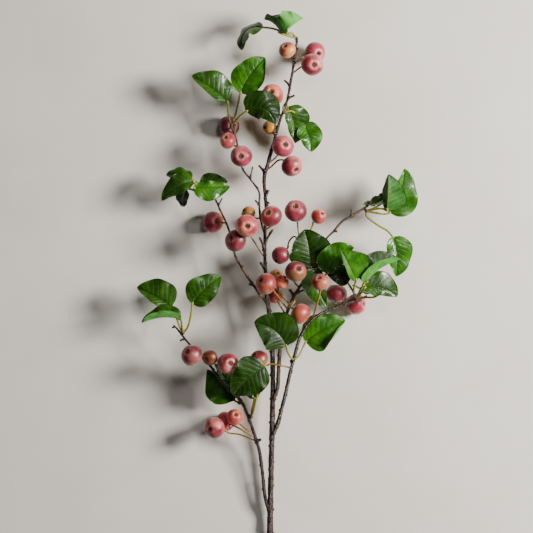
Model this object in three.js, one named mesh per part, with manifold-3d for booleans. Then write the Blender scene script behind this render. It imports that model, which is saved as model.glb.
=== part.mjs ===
// A cut sprig of small apples, lying on its side as picked: one woody stem with six side twigs,
// thirty-four apples on thin stalks and eleven sprays of leaves.
// Millimetres. +Y runs from the cut end to the tip, +Z is up, and the sprig rests on z = 0.
import * as THREE from "three";
import { mergeVertices } from "three/addons/utils/BufferGeometryUtils.js";
import Module from "manifold-3d";

const wasm = await Module();
wasm.setup();

// Driving dimensions.
const JOIN_GAP = 0.4; // air left where a twig, stalk or spur meets the wood it grows from
const WOOD_SIDES = 7; // flats round a stem or twig
const WOOD_STEP = 24; // length of one ring of wood
const STALK_SIDES = 4; // flats round a fruit stalk or leaf stalk
const FRUIT_STALK_RADIUS = 1.2;
const LEAF_STALK_RADIUS = 1.7;
const STALK_STEP = 13; // length of one ring of stalk
const LEAF_THICKNESS = 0.9;
const SPUR_RADIUS = 2.7; // the bud-like knob that a spray of leaves grows from
const LEAF_ROWS = 5; // steps from the base of a blade to its tip
const LEAF_COLUMNS = 4; // steps across a blade
const INTO_BLADE = 0.1; // how far up the midrib a leaf's stalk is sunk, as a share of the blade
const LEAF_BLUNT = 0.45; // how square a blade is at its base
const LEAF_SHARP = 0.8; // how fast it narrows to its tip
const FRUIT_SIDES = 10; // flats round an apple
const MIDDLE = [-1, 5.5, 0]; // carries the middle of the sprig's box onto the origin

const vector = (p) => new THREE.Vector3(p[0], p[1], p[2]);

// ---------------------------------------------------------------- solids

// A closed mesh as a solid that can be joined and cut.
function solidOf(geometry) {
  geometry.deleteAttribute("normal");
  geometry.deleteAttribute("uv");
  const merged = mergeVertices(geometry, 1e-4);
  return new wasm.Manifold(
    new wasm.Mesh({
      numProp: 3,
      vertProperties: new Float32Array(merged.attributes.position.array),
      triVerts: new Uint32Array(merged.index.array),
    }),
  );
}

function geometryOf(solid) {
  const mesh = solid.getMesh();
  const geometry = new THREE.BufferGeometry();
  geometry.setAttribute("position", new THREE.BufferAttribute(mesh.vertProperties, 3));
  geometry.setIndex(new THREE.BufferAttribute(mesh.triVerts, 1));
  return geometry;
}

// What is left of a solid after wood is cut out of it, without any crumbs.
function clearOf(solid, woods) {
  const cut = woods.reduce((rest, wood) => rest.subtract(wood), solid);
  const bodies = cut.decompose().sort((a, b) => b.volume() - a.volume());
  return bodies[0];
}

// A closed mesh through rings of points, each ring with the same number of points.
function skin(rings) {
  const sides = rings[0].length;
  const points = rings.flat();
  const faces = [];
  for (let i = 0; i + 1 < rings.length; i++)
    for (let j = 0; j < sides; j++) {
      const a = i * sides + j;
      const b = i * sides + ((j + 1) % sides);
      faces.push(a, b, b + sides, a, b + sides, a + sides);
    }
  const last = (rings.length - 1) * sides;
  const cap = (a, b, c) => faces.push(a, b, c, last + a, last + c, last + b);
  for (let low = 0, high = sides - 1; low + 1 < high; low++, high--) {
    cap(low, high, low + 1);
    if (low + 1 < high - 1) cap(low + 1, high, high - 1);
  }
  const geometry = new THREE.BufferGeometry().setFromPoints(points);
  geometry.setIndex(faces);
  return geometry;
}

// A round, tapering rod along a smooth route of [x, y, z, radius] points, swollen by `extra`.
function rod(route, sides, step, extra = 0) {
  const curve = new THREE.CatmullRomCurve3(route.map(vector), false, "centripetal");
  const steps = Math.max(2, Math.round(curve.getLength() / step));
  const spans = route.length - 1;
  const side = new THREE.Vector3(0, 0, 1);
  const rings = [];
  for (let i = 0; i <= steps; i++) {
    const t = i / steps;
    const centre = curve.getPoint(t);
    const along = curve.getTangent(t);
    side.addScaledVector(along, -side.dot(along)).normalize();
    const across = new THREE.Vector3().crossVectors(along, side);
    const span = Math.min(Math.floor(t * spans), spans - 1);
    const radius = THREE.MathUtils.lerp(route[span][3], route[span + 1][3], t * spans - span) + extra;
    const ring = [];
    for (let j = 0; j < sides; j++) {
      const angle = (2 * Math.PI * j) / sides;
      const out = centre.clone().addScaledVector(side, radius * Math.cos(angle));
      ring.push(out.addScaledVector(across, radius * Math.sin(angle)));
    }
    rings.push(ring);
  }
  return solidOf(skin(rings));
}

// A thin stalk of one thickness.
const stalk = (points, radius) => rod(points.map((p) => [...p, radius]), STALK_SIDES, STALK_STEP);

// ---------------------------------------------------------------- wood

// Each route runs from the wood it grows on to its tip: [x, y, z, radius].
const wood = {
  main_stem: {
    route: [
      [-10.5, -408, 4.5, 4.5],
      [-9.5, -313.5, 9, 4.4],
      [-8, -226.5, 16, 3.8],
      [-6.5, -163, 24, 3.8],
      [-5.5, -95.5, 34, 3.5],
      [-8, -34, 42, 3.3],
      [-13.5, 12.5, 47, 2.9],
      [-16, 51.5, 50, 2.4],
      [-16.5, 88, 53, 2.2],
      [-15, 134, 55, 2.2],
      [-17.5, 168, 56, 2.5],
      [-13.5, 188, 57, 2.6],
      [-4.5, 219.5, 57, 2.2],
      [4, 250, 56, 1.9],
      [13.5, 276.5, 53, 1.8],
      [18.5, 302.5, 50, 1.8],
      [23, 330, 45, 1.7],
      [27, 358.5, 42, 1.5],
    ],
  },
  right_branch: {
    grows_on: "main_stem",
    route: [
      [-5, -176, 23.5, 2.8],
      [1, -162.5, 27, 3],
      [6, -143.5, 30, 2.7],
      [13, -115, 34, 2.6],
      [18.5, -89.5, 38, 2.5],
      [24, -69, 41, 2.4],
      [29.5, -48, 44, 2.3],
      [36, -34.5, 47, 2.2],
      [44.5, -23, 50, 2.1],
      [57.5, -12.5, 52, 2],
      [72, -6, 52, 1.9],
      [86, -0.5, 51, 1.8],
      [99.5, 3.5, 50, 1.7],
      [113.5, 9, 48, 1.4],
      [122, 13, 46, 1],
    ],
  },
  lower_left_branch: {
    grows_on: "main_stem",
    route: [
      [-11, -282, 12.5, 2.2],
      [-16, -264.5, 16, 2.5],
      [-19, -237, 19, 2.4],
      [-23, -205, 23, 2.4],
      [-28, -185.5, 27, 2.4],
      [-38.5, -154, 34, 2.2],
      [-49.5, -129, 40, 2.1],
      [-63.5, -116, 44, 2],
      [-80, -96.5, 48, 1.9],
      [-90, -83, 47, 1.8],
      [-101.5, -69, 46, 1.7],
      [-117.5, -54, 46, 1.6],
      [-127, -43, 46, 1.5],
      [-134, -34, 45, 1.4],
      [-140.5, -27, 44, 1.1],
    ],
  },
  centre_branch: {
    grows_on: "main_stem",
    route: [
      [-4, -126, 31, 2.4],
      [1, -112, 36, 2.6],
      [2.5, -81.5, 41, 2.8],
      [5, -54, 43, 2.7],
      [9.5, -27, 44, 2.5],
      [14.5, -8, 44, 2.3],
      [20, 5, 44, 2.2],
      [24.5, 14.5, 44, 2.1],
      [32, 26.5, 46, 1.8],
      [39.5, 42, 48, 1.6],
      [49, 64, 48, 1.5],
      [66.5, 89.5, 48, 1.4],
      [77.5, 101, 50, 1.6],
      [88.5, 113.5, 51, 1.7],
      [101, 120.5, 52, 1.8],
      [112, 127.5, 52, 1.8],
      [121, 133.5, 52, 1.6],
      [126.5, 141, 52, 1.2],
    ],
    fork: [
      [25, 15.5, 44, 1.2],
      [35.5, 20.5, 46, 1.3],
      [41, 25, 47, 1.2],
    ],
  },
  left_branch: {
    grows_on: "main_stem",
    route: [
      [-14, 4, 46, 1.7],
      [-22.5, 14, 49, 1.9],
      [-32.5, 28, 49, 1.8],
      [-41.5, 41, 50, 1.8],
      [-49.5, 54, 50, 1.7],
      [-56, 66, 49, 1.7],
      [-59.5, 79, 47, 1.6],
      [-64, 98, 45, 1.5],
      [-69, 112, 44, 1.5],
      [-77.5, 130, 45, 1.4],
      [-85.5, 147.5, 47, 1.3],
      [-91, 149, 48, 1.2],
    ],
  },
  upper_left_branch: {
    grows_on: "main_stem",
    route: [
      [-16.5, 98, 53, 1.4],
      [-20.5, 108.5, 55, 1.5],
      [-23, 122, 55, 1.5],
      [-24, 138, 55, 1.5],
      [-24.5, 154, 54, 1.5],
      [-35.5, 170, 50, 1.4],
      [-46.5, 184.5, 47, 1.4],
      [-52, 203.5, 45, 1.4],
      [-54, 218.5, 44, 1.3],
      [-56.5, 229.5, 44, 1.3],
      [-61.5, 241.5, 46, 1.2],
    ],
  },
  fruit_twig: {
    grows_on: "centre_branch",
    route: [
      [42, 49, 48, 1.3],
      [38, 56, 44, 1.4],
      [37, 72, 42, 1.3],
      [31.5, 87, 43, 1.3],
      [23, 93, 46, 1.2],
      [16.5, 86.5, 48, 1.1],
      [14.5, 79, 49, 1.1],
    ],
  },
};

function woodSolid(piece, extra) {
  const whole = rod(piece.route, WOOD_SIDES, WOOD_STEP, extra);
  return piece.fork ? whole.add(rod(piece.fork, WOOD_SIDES, WOOD_STEP, extra)) : whole;
}

// The main stem is made in lengths, cut square where it bends: [x, y, z] of each cut.
const stemLengths = ["lower_stem", "middle_stem", "upper_stem", "stem_tip"];
const stemCuts = [4, 7, 11].map((i) => wood.main_stem.route[i]);

function stemSolids() {
  const cuts = stemCuts.map(([x, y, z]) => {
    const slot = new THREE.BoxGeometry(24, JOIN_GAP, 24);
    slot.translate(x, y, z);
    return solidOf(slot);
  });
  const lengths = cuts.reduce((rest, cut) => rest.subtract(cut), woodSolid(wood.main_stem, 0));
  const lowest = (body) => body.boundingBox().min[1];
  return lengths.decompose().sort((a, b) => lowest(a) - lowest(b));
}

// The space that other pieces keep out of, round each piece of wood.
const room = {};
for (const [name, piece] of Object.entries(wood)) room[name] = woodSolid(piece, JOIN_GAP);

// ---------------------------------------------------------------- apples

// Each apple: middle, radius, height as a share of its width, the way its dried flower end
// faces, skin, and the stalk's route to the wood. `rests` lays it on the ground.
const apples = [
  { at: [13.5, 346, 52], radius: 11.5, tall: 0.92, flower: [-0.3, 0.5, 0.8], skin: "blush",
    stalk: [[23.5, 332.5, 45]] },
  { at: [52.5, 345, 22], radius: 14.4, tall: 0.92, flower: [0.42, -0.23, 0.88], skin: "rose",
    stalk: [[35.5, 338.5, 26], [24.5, 329, 44.5]] },
  { at: [48, 326.5, 49], radius: 15.1, tall: 0.9, flower: [0.2, -0.14, 0.97], skin: "rose",
    stalk: [[33, 324, 36], [21, 314.5, 47]] },
  { at: [-6.5, 285, 46], radius: 15.2, tall: 1.04, flower: [-0.1, 0.33, 0.94], skin: "coral",
    stalk: [[-2, 268, 38], [6, 254.5, 55]] },
  { at: [-10, 240.5, 47], radius: 10.3, tall: 0.95, flower: [-0.8, 0, 0.6], skin: "gold",
    stalk: [[0, 233.5, 43], [-2, 227.5, 56]] },
  { at: [8.5, 214.5, 71], radius: 14.8, tall: 0.9, flower: [0.25, 0.15, 0.96], skin: "rose",
    stalk: [[0, 202, 53], [-12, 191, 57]] },
  { at: [20.5, 188, 60], radius: 14.6, tall: 0.92, flower: [0.5, -0.47, 0.72], skin: "rose",
    stalk: [[2, 196.5, 48], [-8, 187.5, 53], [-15, 182, 56.5]] },
  { at: [-66, 245, 0], radius: 14.4, tall: 0.92, flower: [-0.5, 0.1, -0.85], skin: "wine",
    stalk: [[-57.5, 233.5, 45]], rests: true },
  { at: [-66.5, 223, 52], radius: 11.1, tall: 0.95, flower: [-0.32, 0.46, 0.83], skin: "blush",
    stalk: [[-53.5, 216, 44]] },
  { at: [-48.5, 201, 65], radius: 14.7, tall: 0.9, flower: [-0.04, -0.03, 1], skin: "rose",
    stalk: [[-50, 197, 46]] },
  { at: [-87.5, 113.5, 0], radius: 14.8, tall: 0.88, flower: [-0.6, 0, -0.8], skin: "wine",
    stalk: [[-74, 112, 32], [-69, 112, 44]], rests: true },
  { at: [-56.5, 87.5, 65], radius: 15, tall: 0.92, flower: [-0.52, 0.26, 0.81], skin: "rose",
    stalk: [[-60.5, 82, 47]] },
  { at: [-40.5, 107.5, 83], radius: 15.3, tall: 0.92, flower: [0.04, -0.09, 1], skin: "blush",
    stalk: [[-35, 93, 58], [-23.5, 75, 54], [-16.5, 65, 51.5]] },
  { at: [-39, 124.5, 54], radius: 10.1, tall: 0.95, flower: [-0.75, 0.5, 0.4], skin: "gold",
    stalk: [[-22, 117.5, 55]] },
  { at: [-8, 120, 73], radius: 14.7, tall: 0.9, flower: [-0.4, 0.4, 0.8], skin: "blush",
    stalk: [[-8, 107, 56], [-16, 102, 54]] },
  { at: [25.5, 128, 60], radius: 15.4, tall: 0.9, flower: [-0.09, 0.51, 0.86], skin: "rose",
    stalk: [[28, 111.5, 42], [30.5, 87.5, 43]] },
  { at: [57, 121, 55], radius: 10.7, tall: 0.95, flower: [0.56, 0.47, 0.68], skin: "coral",
    stalk: [[47.5, 106, 42], [35, 79, 42.5]] },
  { at: [5, 67.5, 56], radius: 11.9, tall: 1.08, flower: [-0.6, -0.65, 0.4], skin: "wine",
    stalk: [[14.5, 79.5, 49]] },
  { at: [25.5, 46, 76], radius: 14.4, tall: 0.94, flower: [0.3, 0.35, 0.89], skin: "wine",
    stalk: [[24.5, 30, 52], [30.5, 24, 45.5]] },
  { at: [-15.5, 29.5, 72], radius: 14.2, tall: 0.94, flower: [-0.6, 0.4, 0.68], skin: "coral",
    stalk: [[-4, 18.5, 56], [4, 8.5, 51], [15, -6.5, 44]] },
  { at: [-1, 39, 40], radius: 10.1, tall: 0.95, flower: [0.35, 0.59, 0.73], skin: "gold",
    stalk: [[-10, 28.5, 38], [-14.5, 26.5, 48]] },
  { at: [6.5, 33, 60], radius: 9.7, tall: 0.95, flower: [0.5, 0.7, 0.5], skin: "coral",
    stalk: [[8.5, 11, 50], [17.5, 1, 44]] },
  { at: [-3, 13, 30], radius: 11.1, tall: 0.95, flower: [-0.3, 0.5, -0.8], skin: "coral",
    stalk: [[4, 0, 46], [12.5, -14, 44]] },
  { at: [31.5, -12, 61], radius: 14.6, tall: 0.9, flower: [0.75, -0.6, 0.2], skin: "coral",
    stalk: [[23.5, 5, 56], [22, 9, 44]] },
  { at: [57.5, 32.5, 86], radius: 11.9, tall: 0.86, flower: [-0.14, 0.64, 0.75], skin: "coral",
    stalk: [[58, 19.5, 72], [56.5, 11, 67], [52, -5, 57], [48, -20, 50.5]] },
  { at: [81, 16, 40], radius: 14.3, tall: 0.92, flower: [0.1, 0.98, -0.1], skin: "wine",
    stalk: [[81.5, -2.5, 51.5]] },
  { at: [109, 0.5, 0], radius: 15, tall: 0.94, flower: [0.88, 0.05, 0.42], skin: "rose",
    stalk: [[91.5, -2, 14], [94, 1.5, 50.5]], rests: true },
  { at: [-115, -67, 69], radius: 14.4, tall: 0.95, flower: [-0.52, 0.43, 0.74], skin: "rose",
    stalk: [[-105.5, -64.5, 46]] },
  { at: [-91, -70.5, 62], radius: 10.8, tall: 0.95, flower: [-0.51, -0.19, 0.84], skin: "gold",
    stalk: [[-85.5, -75.5, 49], [-92, -80, 47]] },
  { at: [-66.5, -78, 65], radius: 14.4, tall: 0.94, flower: [0.35, 0.03, 0.94], skin: "rose",
    stalk: [[-77, -84, 48], [-82.5, -93.5, 48]] },
  { at: [-25, -73, 52], radius: 12.7, tall: 0.95, flower: [-0.6, 0.6, 0.5], skin: "coral",
    stalk: [[-8, -80, 46], [5.5, -82, 48], [20, -85.5, 38.5]] },
  { at: [-85.5, -166.5, 42], radius: 14.3, tall: 0.93, flower: [-0.52, -0.14, 0.84], skin: "rose",
    stalk: [[-66.5, -174.5, 26], [-50.5, -177, 28], [-28, -186, 27]] },
  { at: [-71, -160, 0], radius: 14.2, tall: 0.95, flower: [-0.7, 0.3, -0.6], skin: "blush",
    stalk: [[-49, -169.5, 32], [-37.5, -176.5, 32], [-30, -179.5, 28.5]], rests: true },
  { at: [-57, -152, 40], radius: 11.3, tall: 0.92, flower: [0.14, 0.43, 0.89], skin: "coral",
    stalk: [[-49.5, -163, 32], [-40.5, -170.5, 33], [-33, -171, 30]] },
];

// Half an apple's outline, from the flower end's basin up to the stalk's cavity, as shares of
// the radius: [out from the core, up the core].
const outline = [
  [0, -0.78],
  [0.4, -0.93],
  [0.8, -0.66],
  [1, -0.05],
  [0.88, 0.56],
  [0.5, 0.9],
  [0, 0.62],
];

function appleSolid(apple) {
  const { radius, tall } = apple;
  const profile = outline.map(([out, up]) => new THREE.Vector2(out * radius, up * radius * tall));
  const fruit = new THREE.LatheGeometry(profile, FRUIT_SIDES);
  const core = vector(apple.flower).normalize().negate();
  const turn = new THREE.Quaternion().setFromUnitVectors(new THREE.Vector3(0, 1, 0), core);
  fruit.applyQuaternion(turn);
  fruit.computeBoundingBox();
  const middle = vector(apple.at);
  if (apple.rests) middle.z = -fruit.boundingBox.min.z;
  fruit.translate(middle.x, middle.y, middle.z);
  const inside = middle.clone().addScaledVector(core, radius * tall * 0.5);
  const outside = middle.clone().addScaledVector(core, radius * tall * 1.25);
  const route = [inside.toArray(), outside.toArray(), ...apple.stalk];
  return solidOf(fruit).add(stalk(route, FRUIT_STALK_RADIUS));
}

// ---------------------------------------------------------------- leaves

// Each leaf: the route of its stalk from the spur, the base and tip of its blade, how far the
// middle of its midrib bows off the straight line, the way its upper face looks, and for its
// right and left halves the greatest width, the fold up from the midrib and the curl beyond it.
const sprays = {
  top_leaves: {
    spur: [26.5, 362.5, 43],
    leaves: [
      { stalk: [[15, 366.5, 44], [-2.5, 374.5, 46]], base: [-19, 377, 46], tip: [-48, 346.5, 40],
        bow: [-9, 10, 0], face: [-0.35, 0.75, 0.45], wide: [18, 18], fold: [8, 8], curl: [-25, -25] },
      { stalk: [[16.5, 365, 48]], base: [5.5, 368, 52], tip: [-17.5, 387.5, 50],
        bow: [2, 3, 8], face: [0.35, 0.55, 0.75], wide: [27, 18], fold: [5, 50], curl: [10, 60] },
      { stalk: [[20.5, 368.5, 49], [13.5, 368.5, 52]], base: [12, 371.5, 56.5], tip: [35.5, 388, 54],
        bow: [0, 0, 6], face: [0.25, 0.2, -0.95], wide: [23, 18], fold: [-5, 110], curl: [0, 10] },
    ],
  },
  upper_left_leaves: {
    spur: [-62, 245, 47],
    leaves: [
      { stalk: [[-65, 253.5, 48], [-66.5, 265.5, 50]], base: [-67, 275.5, 52], tip: [-115.5, 310.5, 56],
        bow: [0, 2, 4], face: [-0.15, 0.1, 1], wide: [26, 11], fold: [4, 35], curl: [-22, 10] },
      { stalk: [[-56.5, 258, 46], [-53, 273, 46]], base: [-49.5, 288, 47], tip: [-16, 335.5, 52],
        bow: [-2, 2, 3], face: [0, 0, 1], wide: [22, 23], fold: [8, 4], curl: [8, -8] },
      { stalk: [[-55, 250.5, 53], [-48.5, 257, 61]], base: [-41.5, 261.5, 66], tip: [-1.5, 243, 76],
        bow: [4, 13, 4], face: [0.1, -0.1, 1], wide: [18, 24], fold: [-10, -6], curl: [0, -8] },
    ],
  },
  upper_right_leaves: {
    spur: [9.5, 261, 57],
    leaves: [
      { stalk: [[8.5, 267, 55.5], [10.5, 271.5, 51.5]], base: [14.5, 269.5, 47], tip: [24.5, 220, 38],
        bow: [3, 1, -2], face: [0.1, 0.1, 1], wide: [12, 23], fold: [30, 12], curl: [0, -18], wave: 3 },
      { stalk: [[20.5, 263, 46], [30, 255.5, 36]], base: [36, 246, 36], tip: [46, 208, 42],
        bow: [3, 0, 2], face: [0.05, 0.1, 1], wide: [15, 19], fold: [20, 10], curl: [-10, -12], wave: 2 },
    ],
  },
  left_leaves: {
    spur: [-94.5, 150, 48.5],
    leaves: [
      { stalk: [[-101.5, 153, 52], [-109.5, 162.5, 58]], base: [-113.5, 168, 60], tip: [-156, 141.5, 54],
        bow: [0, 5, 6], face: [-0.1, 0.35, 0.9], wide: [18, 12], fold: [8, 14], curl: [-10, -10] },
      { stalk: [[-102.5, 156.5, 47.5], [-109.5, 166.5, 50]], base: [-115.5, 171, 52], tip: [-150.5, 177, 46],
        bow: [0, 3, 2], face: [-0.1, 0.6, 0.75], wide: [12, 12], fold: [10, 10], curl: [-10, -10] },
      { stalk: [[-104.5, 151.5, 48], [-114.5, 156.5, 49]], base: [-122, 158, 50], tip: [-125.5, 134, 34],
        bow: [-3, -1, 0], face: [-0.2, 0.1, 0.95], wide: [11, 8], fold: [22, 22], curl: [0, 0] },
      { stalk: [[-99.5, 148.5, 56], [-108.5, 155, 60]], base: [-112, 159, 62], tip: [-63.5, 161, 58],
        bow: [0, -1, 3], face: [0, 0.25, 0.95], wide: [18, 10], fold: [0, 4], curl: [-8, -6], wave: 2 },
      { stalk: [[-99.5, 155.5, 50]], base: [-104, 163, 51], tip: [-67, 167, 48],
        bow: [0, 2, 1], face: [0.1, -0.4, 0.9], wide: [11, 14], fold: [5, 5], curl: [0, 0] },
    ],
  },
  far_right_leaves: {
    spur: [121, 127.5, 52.5],
    leaves: [
      { stalk: [[132.5, 132, 55], [144, 139.5, 58]], base: [148.5, 147.5, 58], tip: [117, 137.5, 54],
        bow: [0, -4, -1], face: [-0.1, 0.75, 0.6], wide: [11, 11], fold: [15, 15], curl: [0, 0] },
      { stalk: [[132.5, 130, 57], [142.5, 130.5, 61]], base: [148.5, 127.5, 62], tip: [150, 176.5, 70],
        bow: [0, 0, 5], face: [-0.2, 0, -1], wide: [11, 26], fold: [60, 0], curl: [0, -10] },
      { stalk: [[134, 125, 51.5], [145, 123.5, 50.5]], base: [152.5, 125, 50], tip: [173, 185, 54],
        bow: [4, -2, 1], face: [0.15, 0, 1], wide: [27, 11], fold: [4, 6], curl: [-8, 0], wave: 2 },
      { stalk: [[122.5, 119.5, 51.5], [137.5, 108, 50], [149.5, 101, 50]], base: [157, 92.5, 50],
        tip: [162, 38.5, 46], bow: [3, 0, 3], face: [0.1, 0, 1], wide: [14, 22], fold: [16, 6],
        curl: [-6, -8] },
    ],
  },
  centre_leaves: {
    spur: [44, 28, 48.5],
    leaves: [
      { stalk: [[44.5, 39.5, 53.5]], base: [46, 50.5, 58], tip: [36.5, 102.5, 60],
        bow: [2, 1, 4], face: [0, 0.05, 1], wide: [30, 28], fold: [16, 14], curl: [-12, -14] },
      { stalk: [[54, 35, 57]], base: [68, 43, 66], tip: [103.5, 78.5, 72],
        bow: [-5, 4, 2], face: [-0.1, 0, 1], wide: [12, 22], fold: [6, 10], curl: [-6, -10], wave: 2 },
      { stalk: [[48, 38, 52.5], [50.5, 46.5, 56]], base: [53.5, 51, 58], tip: [68.5, -2.5, 53],
        bow: [-6, 0, 4], face: [0, 0, 1], wide: [20, 11], fold: [6, 18], curl: [-8, -10] },
    ],
  },
  right_leaves: {
    spur: [107.5, 9, 52],
    leaves: [
      { stalk: [[104, 16.5, 57]], base: [96, 30, 61], tip: [66, 46.5, 58],
        bow: [0, 1, 0], face: [0, 0, 1], wide: [18, 9], fold: [4, 4], curl: [0, 0] },
      { stalk: [[103.5, 18, 63], [104, 26, 75]], base: [106, 34.5, 82], tip: [85.5, 74.5, 90],
        bow: [0, 0, 3], face: [0.1, 0, 1], wide: [28, 11], fold: [2, 40], curl: [6, 10] },
      { stalk: [[111, 18, 62], [114.5, 25, 71]], base: [116.5, 30, 76], tip: [166, 62, 70],
        bow: [-2, 4, 6], face: [-0.1, 0.3, 0.95], wide: [15, 28], fold: [118, 8], curl: [0, 0] },
      { stalk: [[113, 16, 58], [116, 20, 63]], base: [118.5, 24, 66], tip: [163.5, 11.5, 56],
        bow: [1, 5, 3], face: [0.05, 0.1, 1], wide: [11, 23], fold: [5, 4], curl: [-4, -4] },
      { stalk: [[120.5, 10.5, 54], [131, 11, 57]], base: [138, 15, 58], tip: [101.5, 27.5, 66],
        bow: [0, -2, 0], face: [0.25, 0.85, 0.3], wide: [12, 12], fold: [6, 6], curl: [0, 0] },
    ],
  },
  lower_left_leaves: {
    spur: [-127.5, -38, 48],
    leaves: [
      { stalk: [[-131.5, -29.5, 51], [-137.5, -13, 54.5]], base: [-142.5, -2.5, 56], tip: [-190, 24, 50],
        bow: [0, 2, 4], face: [-0.05, 0.1, 1], wide: [27, 11], fold: [4, 32], curl: [-8, 0] },
      { stalk: [[-121, -29.5, 50], [-116.5, -13.5, 52.5]], base: [-114.5, 2, 54], tip: [-75.5, 39, 54],
        bow: [-2, 2, 4], face: [0, 0, 1], wide: [18, 22], fold: [10, 8], curl: [-8, -8] },
      { stalk: [[-128.5, -29.5, 57]], base: [-129.5, -18.5, 68], tip: [-183, -24, 60],
        bow: [0, 5, 4], face: [-0.05, 0.3, 0.95], wide: [18, 14], fold: [2, 112], curl: [-5, 12] },
    ],
  },
  low_centre_leaves: {
    spur: [22.5, -74.5, 44],
    leaves: [
      { stalk: [[17, -68.5, 55], [13.5, -60, 65]], base: [12.5, -54.5, 72], tip: [-31, -22.5, 76],
        bow: [6, 5, 4], face: [0, 0, 1], wide: [29, 27], fold: [8, 14], curl: [-8, -10] },
      { stalk: [[30, -68.5, 38], [36, -57, 34]], base: [39, -50.5, 34], tip: [93.5, -21, 36],
        bow: [-2, 3, 4], face: [0, 0.1, 1], wide: [27, 24], fold: [8, 8], curl: [10, -8] },
    ],
  },
  broad_leaves: {
    spur: [-35, -152.5, 37],
    leaves: [
      { stalk: [[-32, -143.5, 45], [-27.5, -124, 56], [-20, -96.5, 65]], base: [-16.5, -81.5, 72],
        tip: [-59, -121.5, 70], bow: [-1, 3, 4], face: [0, 0, 1], wide: [26, 26], fold: [8, 8],
        curl: [-8, -8] },
      { stalk: [[-33.5, -141, 42]], base: [-30.5, -127, 50], tip: [-39, -90.5, 50],
        bow: [0, 0, -2], face: [0, 0, 1], wide: [11, 11], fold: [10, 10], curl: [0, 0] },
    ],
  },
  low_twig_leaves: {
    spur: [-51.5, -133.5, 36.5],
    leaves: [
      { stalk: [[-54.5, -132, 34]], base: [-58, -130, 32], tip: [-95.5, -88, 30],
        bow: [2, 3, 2], face: [-0.1, 0, 1], wide: [9, 30], fold: [40, 6], curl: [0, -10] },
      { stalk: [[-51.5, -130, 37]], base: [-53.5, -126.5, 37], tip: [-85, -80, 39],
        bow: [1, -1, -2], face: [0.1, 0, 1], wide: [20, 8], fold: [0, 40], curl: [0, 0] },
    ],
  },
};

// Half-width of a blade at t, from 0 at its base to 1 at its tip, as a share of the greatest.
function bladeShare(t) {
  const widest = LEAF_BLUNT / (LEAF_BLUNT + LEAF_SHARP);
  const share = (at) => at ** LEAF_BLUNT * (1 - at) ** LEAF_SHARP;
  return share(t) / share(widest);
}

// A point on a blade's middle surface and the way its upper face looks there: t runs from base
// to tip, s from -1 at the left edge to 1 at the right.
function bladePoint(leaf, t, s) {
  const base = vector(leaf.base);
  const tip = vector(leaf.tip);
  const control = base.clone().lerp(tip, 0.5).addScaledVector(vector(leaf.bow), 2);
  const midrib = new THREE.QuadraticBezierCurve3(base, control, tip);
  const along = midrib.getTangent(t);
  const side = new THREE.Vector3().crossVectors(along, vector(leaf.face)).normalize();
  const up = new THREE.Vector3().crossVectors(side, along).normalize();
  const half = s < 0 ? 1 : 0;
  const fold = THREE.MathUtils.degToRad(leaf.fold[half]);
  const curl = THREE.MathUtils.degToRad(leaf.curl[half]) || 1e-4;
  const reach = Math.abs(s);
  const width = leaf.wide[half] * bladeShare(t);
  const out = (width * (Math.sin(fold + curl * reach) - Math.sin(fold))) / curl;
  const lift = (width * (Math.cos(fold) - Math.cos(fold + curl * reach))) / curl;
  const wave = (leaf.wave ?? 1.2) * Math.sin(2 * Math.PI * (2.5 * t + 0.25 * half)) * reach * reach;
  const facing = fold + curl * reach;
  const sign = Math.sign(s) || 1;
  return {
    point: midrib.getPoint(t).addScaledVector(side, sign * out).addScaledVector(up, lift + wave),
    normal: up.clone().multiplyScalar(Math.cos(facing)).addScaledVector(side, -sign * Math.sin(facing)),
  };
}

// One blade: each row across it is a closed ring, over the upper face and back under the lower.
function bladeSolid(leaf) {
  const rings = [];
  for (let i = 0; i <= LEAF_ROWS; i++) {
    const t = 0.02 + (0.965 * i) / LEAF_ROWS;
    const upper = [];
    const lower = [];
    for (let j = 0; j <= LEAF_COLUMNS; j++) {
      const { point, normal } = bladePoint(leaf, t, (2 * j) / LEAF_COLUMNS - 1);
      upper.push(point.clone().addScaledVector(normal, LEAF_THICKNESS / 2));
      lower.unshift(point.clone().addScaledVector(normal, -LEAF_THICKNESS / 2));
    }
    rings.push([...upper, ...lower]);
  }
  return solidOf(skin(rings));
}

function spraySolid(spray) {
  const knob = new THREE.OctahedronGeometry(SPUR_RADIUS, 1);
  knob.translate(...spray.spur);
  let whole = solidOf(knob);
  for (const leaf of spray.leaves) {
    const into = bladePoint(leaf, INTO_BLADE, 0).point.toArray();
    const route = [spray.spur, ...leaf.stalk, leaf.base, into];
    whole = whole.add(bladeSolid(leaf)).add(stalk(route, LEAF_STALK_RADIUS));
  }
  return whole;
}

// ---------------------------------------------------------------- the sprig

const finish = (color, roughness) => ({ color, roughness, metalness: 0 });
const bark = finish(0x3f2a20, 0.42);
const leafGreen = finish(0x2f6b1e, 0.36);
const skins = {
  rose: finish(0xb9556a, 0.4),
  blush: finish(0xd08878, 0.4),
  coral: finish(0xb85c50, 0.4),
  wine: finish(0x8a3347, 0.4),
  gold: finish(0xb58040, 0.4),
};

const sprig = new THREE.Group();
sprig.position.set(...MIDDLE);

function add(name, solid, look) {
  const mesh = new THREE.Mesh(geometryOf(solid), new THREE.MeshStandardMaterial(look));
  mesh.name = name;
  sprig.add(mesh);
}

stemSolids().forEach((solid, i) => add(stemLengths[i], solid, bark));
for (const [name, piece] of Object.entries(wood))
  if (piece.grows_on) add(name, clearOf(woodSolid(piece, 0), [room[piece.grows_on]]), bark);

apples.forEach((apple, i) => {
  const name = "apple_" + String(i + 1).padStart(2, "0");
  add(name, clearOf(appleSolid(apple), Object.values(room)), skins[apple.skin]);
});

for (const [name, spray] of Object.entries(sprays))
  add(name, clearOf(spraySolid(spray), Object.values(room)), leafGreen);

export default sprig;
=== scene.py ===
import math
import random

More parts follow.
